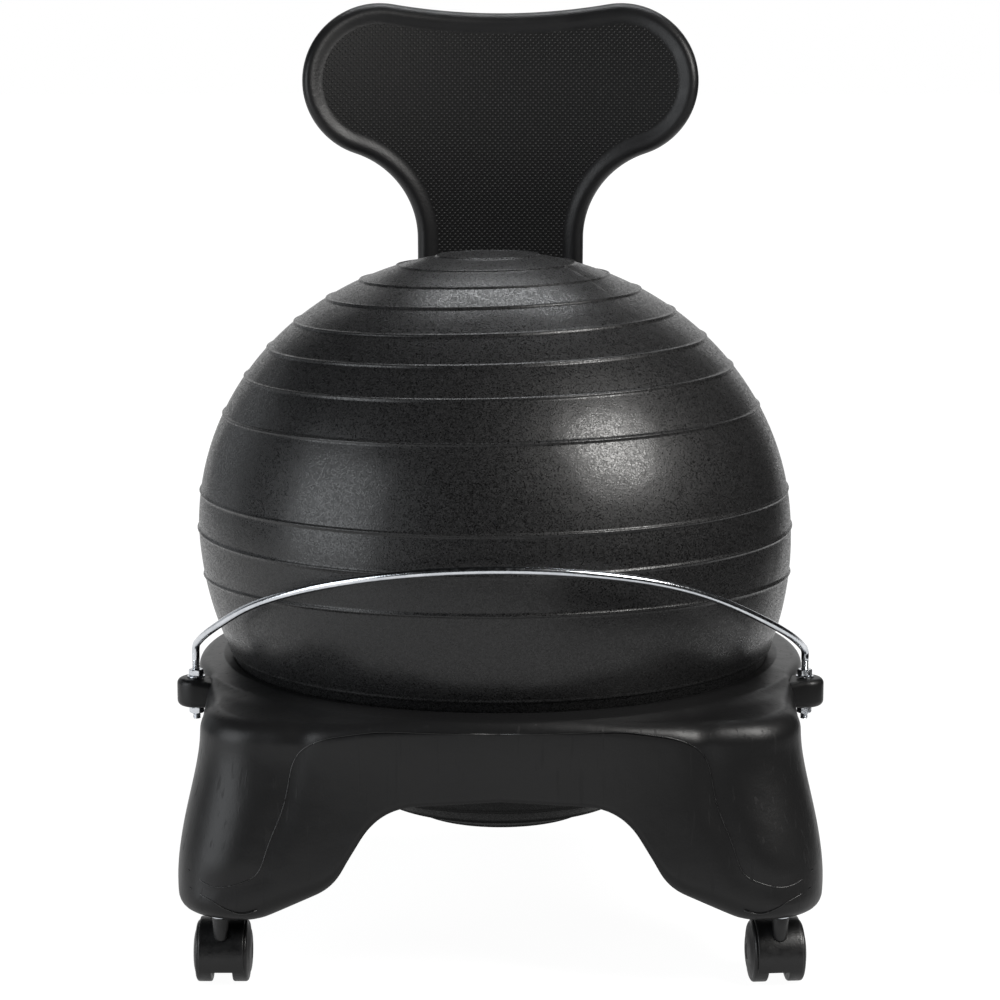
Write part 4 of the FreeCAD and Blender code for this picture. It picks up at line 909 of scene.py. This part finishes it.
def rod_surface():
    """A tube round the path. Its radius has a helical groove where the rod is threaded:
    depth times the share of (1 + cos(turns along the pitch - angle)) / 2."""
    path, rise, threads = rod_path()
    tangent = unit(np.gradient(path, axis=0))
    side = unit(np.cross(tangent, np.cross((1.0, 0, 0), rise)))
    normal = np.cross(side, tangent)
    turn = full_turn(24)
    number = np.arange(len(path))
    from_end = np.minimum(number, number[::-1])
    threaded = held((threads - from_end) / thread_fade)[:, None]
    wave = (1 + np.cos(2 * np.pi * path[:, 2:] / thread_pitch - turn[None, :])) / 2
    radius = rod_radius - thread_depth * threaded * wave
    radius[[0, -1]] *= end_share
    return sweep(path, radius[..., None], side, normal, turn)


rod = grid_piece("rod", rod_surface(), steel, capped=True)
dress(rod, "root", "retaining_rod")


# A hex nut and a washer of plated steel hold the rod above and below each lug. The nuts are
# screwed on to the rod's threads, and the washers spread their grip on the plastic.
nut_reach, washer_reach = 0.0064, 0.0075


def placed(points, matrix):
    """Points carried by a placing matrix."""
    matrix = np.array(matrix)
    return points @ matrix[:3, :3].T + matrix[:3, 3]


def turned(name, outline, place, material, segments=64, sharp=30):
    """A piece spun about its own Z axis from an outline of radius and height, then placed."""
    outline = np.array(outline)
    turn = full_turn(segments)
    radius = outline[:, :1]
    height = outline[:, 1:] + 0 * turn
    points = placed(coords(radius * np.cos(turn), radius * np.sin(turn), height), place)
    return grid_piece(name, points, material, ring_rows=outline[0, 0] > 0, sharp=sharp)


def washer_outline(bore, reach, thickness, soft):
    """A ring with soft edges, as radius and height, closed on itself."""
    corners = [(bore, 0), (reach, 0), (reach, thickness), (bore, thickness), (bore, 0)]
    return soft_polyline(corners, (0, soft, soft, soft, 0), 4)[:-1]


def nut_surface(x, low, height):
    """A hexagon cut back at its corners by a cone at the top and the bottom."""
    turn = full_turn(72)
    cone_start, cone_slope, corner_cut = 0.96, 1.6, 0.02
    flat = nut_reach * math.cos(np.pi / 6)
    hexagon = flat / np.cos((turn % (np.pi / 3)) - np.pi / 6)
    cone = nut_reach - flat * corner_cut
    level = np.array([0, 0, 0.03, 0.08, 0.14, 0.2, 0.5, 0.8, 0.86, 0.92, 0.97, 1, 1]) * height
    near_end = np.minimum(level, height - level)
    limit = flat * cone_start + near_end * cone_slope
    radius = np.minimum(hexagon[None, :], np.minimum(limit, cone)[:, None])
    radius[[0, -1]] = rod_radius
    z = low + level[:, None] + 0 * turn
    return coords(x + radius * np.cos(turn), lug_y + radius * np.sin(turn), z)


for level in ("upper", "lower"):
    nut_low, nut_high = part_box(f"rod_{level}_nuts")
    washer_low, washer_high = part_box(f"rod_{level}_washers")
    for side, word in sides:
        x, height = side * lug_x, nut_high[2] - nut_low[2]
        points = nut_surface(x, nut_low[2], height)
        nut = grid_piece(f"rod_nut_{level}_{word}", points, steel, ring_rows=True, sharp=25)
        dress(nut, "root", f"rod_{level}_nuts")
        outline = washer_outline(rod_radius, washer_reach, washer_high[2] - washer_low[2], 0.0003)
        place = Matrix.Translation((x, lug_y, washer_low[2]))
        washer = turned(f"rod_washer_{level}_{word}", outline, place, steel)
        dress(washer, "root", f"rod_{level}_washers")


# Each caster has a moulded hood over two wheels, a stem tube at its front and a steel stem.
# The rear ones have a brake lever on a pin. All of it is black nylon but the stem and pins.
nylon = cloudy(
    finish("caster_nylon", (0.009, 0.009, 0.0093), 0.34, specular=0.4),
    (30, 3, (0.0075, 0.0075, 0.0077), (0.011, 0.011, 0.0113)),
    (160, 3, 0.3, 0.46),
    (600, 2, 0.00006),
)

trail, wheel_radius = 0.020, 0.025
hood_radius, hood_wall, hood_half, web_half, mouth_z = 0.028, 0.0016, 0.0184, 0.0076, 0.0145
hub_x, lever_reach, pin_bore, boss_length = 0.0085, 0.0205, 0.00155, 0.010


def hood_surface():
    """A wall with soft side edges swept round the axle, from the front mouth over the top to
    the rear mouth."""
    reach = math.acos((mouth_z - wheel_radius) / hood_radius)
    swing = np.linspace(-reach, reach, 65)[:, None]
    inside, mouth = hood_radius - hood_wall, hood_half - 0.0002
    upper = [(hood_half, hood_radius), (-hood_half, hood_radius)]
    corners = [(0, inside), (mouth, inside), *upper, (-mouth, inside), (0, inside)]
    section = soft_polyline(corners, (0, 0.0006, 0.0022, 0.0022, 0.0006, 0), 6)[:-1]
    radius = section[:, 1][None, :]
    x = section[:, 0][None, :] + 0 * swing
    y, z = trail + radius * np.sin(swing), wheel_radius + radius * np.cos(swing)
    return coords(x, y, z)


def web_surface():
    """The plate between the wheels: a round drawn in at its edges and cut level at the mouth."""
    turn = full_turn(96)
    soft = 0.0008
    inset = np.array([0.006, soft, 0.0, 0.0, soft, 0.006])
    x = np.array([-web_half, -web_half, -web_half + soft, web_half - soft, web_half, web_half])
    radius = (hood_radius - soft - inset)[:, None]
    y = trail + radius * np.sin(turn)
    z = np.maximum(wheel_radius + radius * np.cos(turn), mouth_z + inset[:, None] * 0.5)
    return coords(x[:, None] + 0 * turn, y, z)


tube_corners = (
    (0, 0.0395), (0.0046, 0.0395), (0.0063, 0.047), (0.0067, 0.060),
    (0.0042, 0.060), (0.0041, 0.052), (0, 0.052),
)
tube_line = soft_polyline(tube_corners, (0, 0.003, 0.004, 0.0008, 0.0003, 0.0003, 0), 5)
wheel_corners = (
    (0, 0.010), (0.003, 0.010), (0.003, 0), (0.007, 0), (0.007, 0.002),
    (0.019, 0.002), (0.0205, 0), (wheel_radius, 0), (wheel_radius, 0.0115), (0.0225, 0.0128),
    (0.0215, 0.0124), (0.0150, 0.0146), (0.0072, 0.0149), (0.0066, 0.0143), (0, 0.0146),
)
wheel_rounding = (
    0, 0.0002, 0.0004, 0.0004, 0.0008,
    0.0008, 0.0008, 0.0016, 0.0014, 0.0008,
    0.0008, 0.003, 0.0004, 0.0006, 0,
)
wheel_line = soft_polyline(wheel_corners, wheel_rounding, 6)
stem_corners = (
    (0, 0.0445), (0.004, 0.0445), (0.004, 0.060), (0.007, 0.060), (0.007, 0.0625),
    (0.0055, 0.0625), (0.0055, 0.0905), (0.0046, 0.0905), (0.0046, 0.0945), (0.0055, 0.0945),
    (0.0055, 0.099), (0.004, 0.1005), (0, 0.1005),
)
stem_rounding = (
    0, 0.0004, 0.0002, 0.0004, 0.0004, 0.0002, 0.0002, 0.0002, 0.0002, 0.0002, 0.0004, 0.0004, 0,
)
stem_line = soft_polyline(stem_corners, stem_rounding, 4)
brake_tilt = math.radians(55)
brake_y = trail + lever_reach * math.sin(brake_tilt)
brake_pivot = Vector((0, brake_y, wheel_radius + lever_reach * math.cos(brake_tilt)))


def rounded_block(half_x, half_y, low, high, soft):
    """A box with every edge rounded: a soft rectangle carried up and drawn in at both ends."""
    inset, height = soft_ends(low, high, soft, soft * 2, 5)
    corners = [(0, -1), (1, -1), (1, 1), (-1, 1), (-1, -1), (0, -1)]
    section = soft_polyline(corners, (0, 0.35, 0.35, 0.35, 0.35, 0), 5)[:-1]
    x = section[:, 0][None, :] * (half_x - inset)[:, None]
    y = section[:, 1][None, :] * (half_y - np.minimum(inset, half_y * 0.8))[:, None]
    return coords(x, y, height[:, None] + 0 * x)


def join_pieces(name, pieces):
    """Several closed meshes as one piece."""
    joined = bmesh.new()
    for piece in pieces:
        joined.from_mesh(piece.data)
    mesh = bpy.data.meshes.new(name)
    joined.to_mesh(mesh)
    joined.free()
    mesh.materials.append(pieces[0].data.materials[0])
    whole = add_object(name, mesh)
    for piece in pieces:
        bpy.data.objects.remove(piece, do_unlink=True)
    return whole


lever_blocks = {
    "arm": (0.005, 0.0022, -0.0036, 0.0195, 0.0006),
    "tab": (0.013, 0.0022, 0.0087, 0.0205, 0.0008),
}
caster_places = {
    "front_left": (-0.226, -0.226, 0),
    "front_right": (0.226, -0.226, 5),
    "rear_left": (-0.226, 0.226, 0),
    "rear_right": (0.226, 0.226, 0),
}
for name, (x, y, turn) in caster_places.items():
    stand = Matrix.Translation((x, y, 0)) @ Matrix.Rotation(math.radians(turn), 4, "Z")
    shell = grid_piece("shell", placed(hood_surface(), stand), nylon, capped=True, sharp=40)
    web = grid_piece("web", placed(web_surface(), stand), nylon, capped=True, sharp=40)
    tube = turned("tube", tube_line, stand, nylon, 48)
    hood = join_pieces(f"hood_{name}", [shell, web, tube])
    dress(hood, f"caster_{name}", f"caster_hood_{name}")
    stem = turned(f"stem_{name}", stem_line, stand, steel, 40)
    dress(stem, f"caster_{name}", f"caster_stem_{name}")
    for side, word in sides:
        hub = Matrix.Translation((side * hub_x, trail, wheel_radius))
        hub = hub @ Matrix.Rotation(side * math.pi / 2, 4, "Y")
        wheel = turned(f"tyre_{word}_{name}", wheel_line, stand @ hub, nylon, 96, 35)
        dress(wheel, f"wheel_{word}_{name}", f"wheel_{word}_{name}")
    if name.startswith("rear"):
        tilt = stand @ Matrix.Translation(brake_pivot) @ Matrix.Rotation(-brake_tilt, 4, "X")
        blocks = []
        for word, size in lever_blocks.items():
            points = placed(rounded_block(*size), tilt)
            blocks.append(grid_piece(word, points, nylon, capped=True, sharp=40))
        hub = Matrix.Translation((-boss_length / 2, 0, 0)) @ Matrix.Rotation(math.pi / 2, 4, "Y")
        boss_line = washer_outline(pin_bore, 0.0036, boss_length, 0.0004)
        boss = turned("boss", boss_line, tilt @ hub, nylon, 32)
        lever = join_pieces(f"lever_{name}", [*blocks, boss])
        dress(lever, f"brake_lever_{name}", f"brake_lever_{name}")


# The remaining small parts keep their model shapes: fixings in plated steel, threaded inserts
# in brass and the ball's plug in soft white plastic.
brass = cloudy(
    finish("turned_brass", (0.72, 0.56, 0.28), 0.3, metallic=1.0),
    (120, 3, (0.62, 0.47, 0.22), (0.78, 0.62, 0.33)),
    (500, 2, 0.24, 0.4),
)
plug_plastic = cloudy(
    finish("plug_plastic", (0.55, 0.55, 0.53), 0.45),
    (200, 3, (0.5, 0.5, 0.48), (0.6, 0.6, 0.58)),
    grain=(900, 2, 0.00005),
)

kept = {"backrest_inserts": brass, "ball_valve_plug": plug_plastic}
steel_nodes = ["backrest_washers", "backrest_bolts", "brake_pin_rear_left", "brake_pin_rear_right"]
for word in ("caster_socket", "grip_ring", "wheel_axle"):
    steel_nodes += [f"{word}_{name}" for name in caster_places]
kept.update(dict.fromkeys(steel_nodes, steel))
for node, material in kept.items():
    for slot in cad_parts[node].material_slots:
        slot.material = material
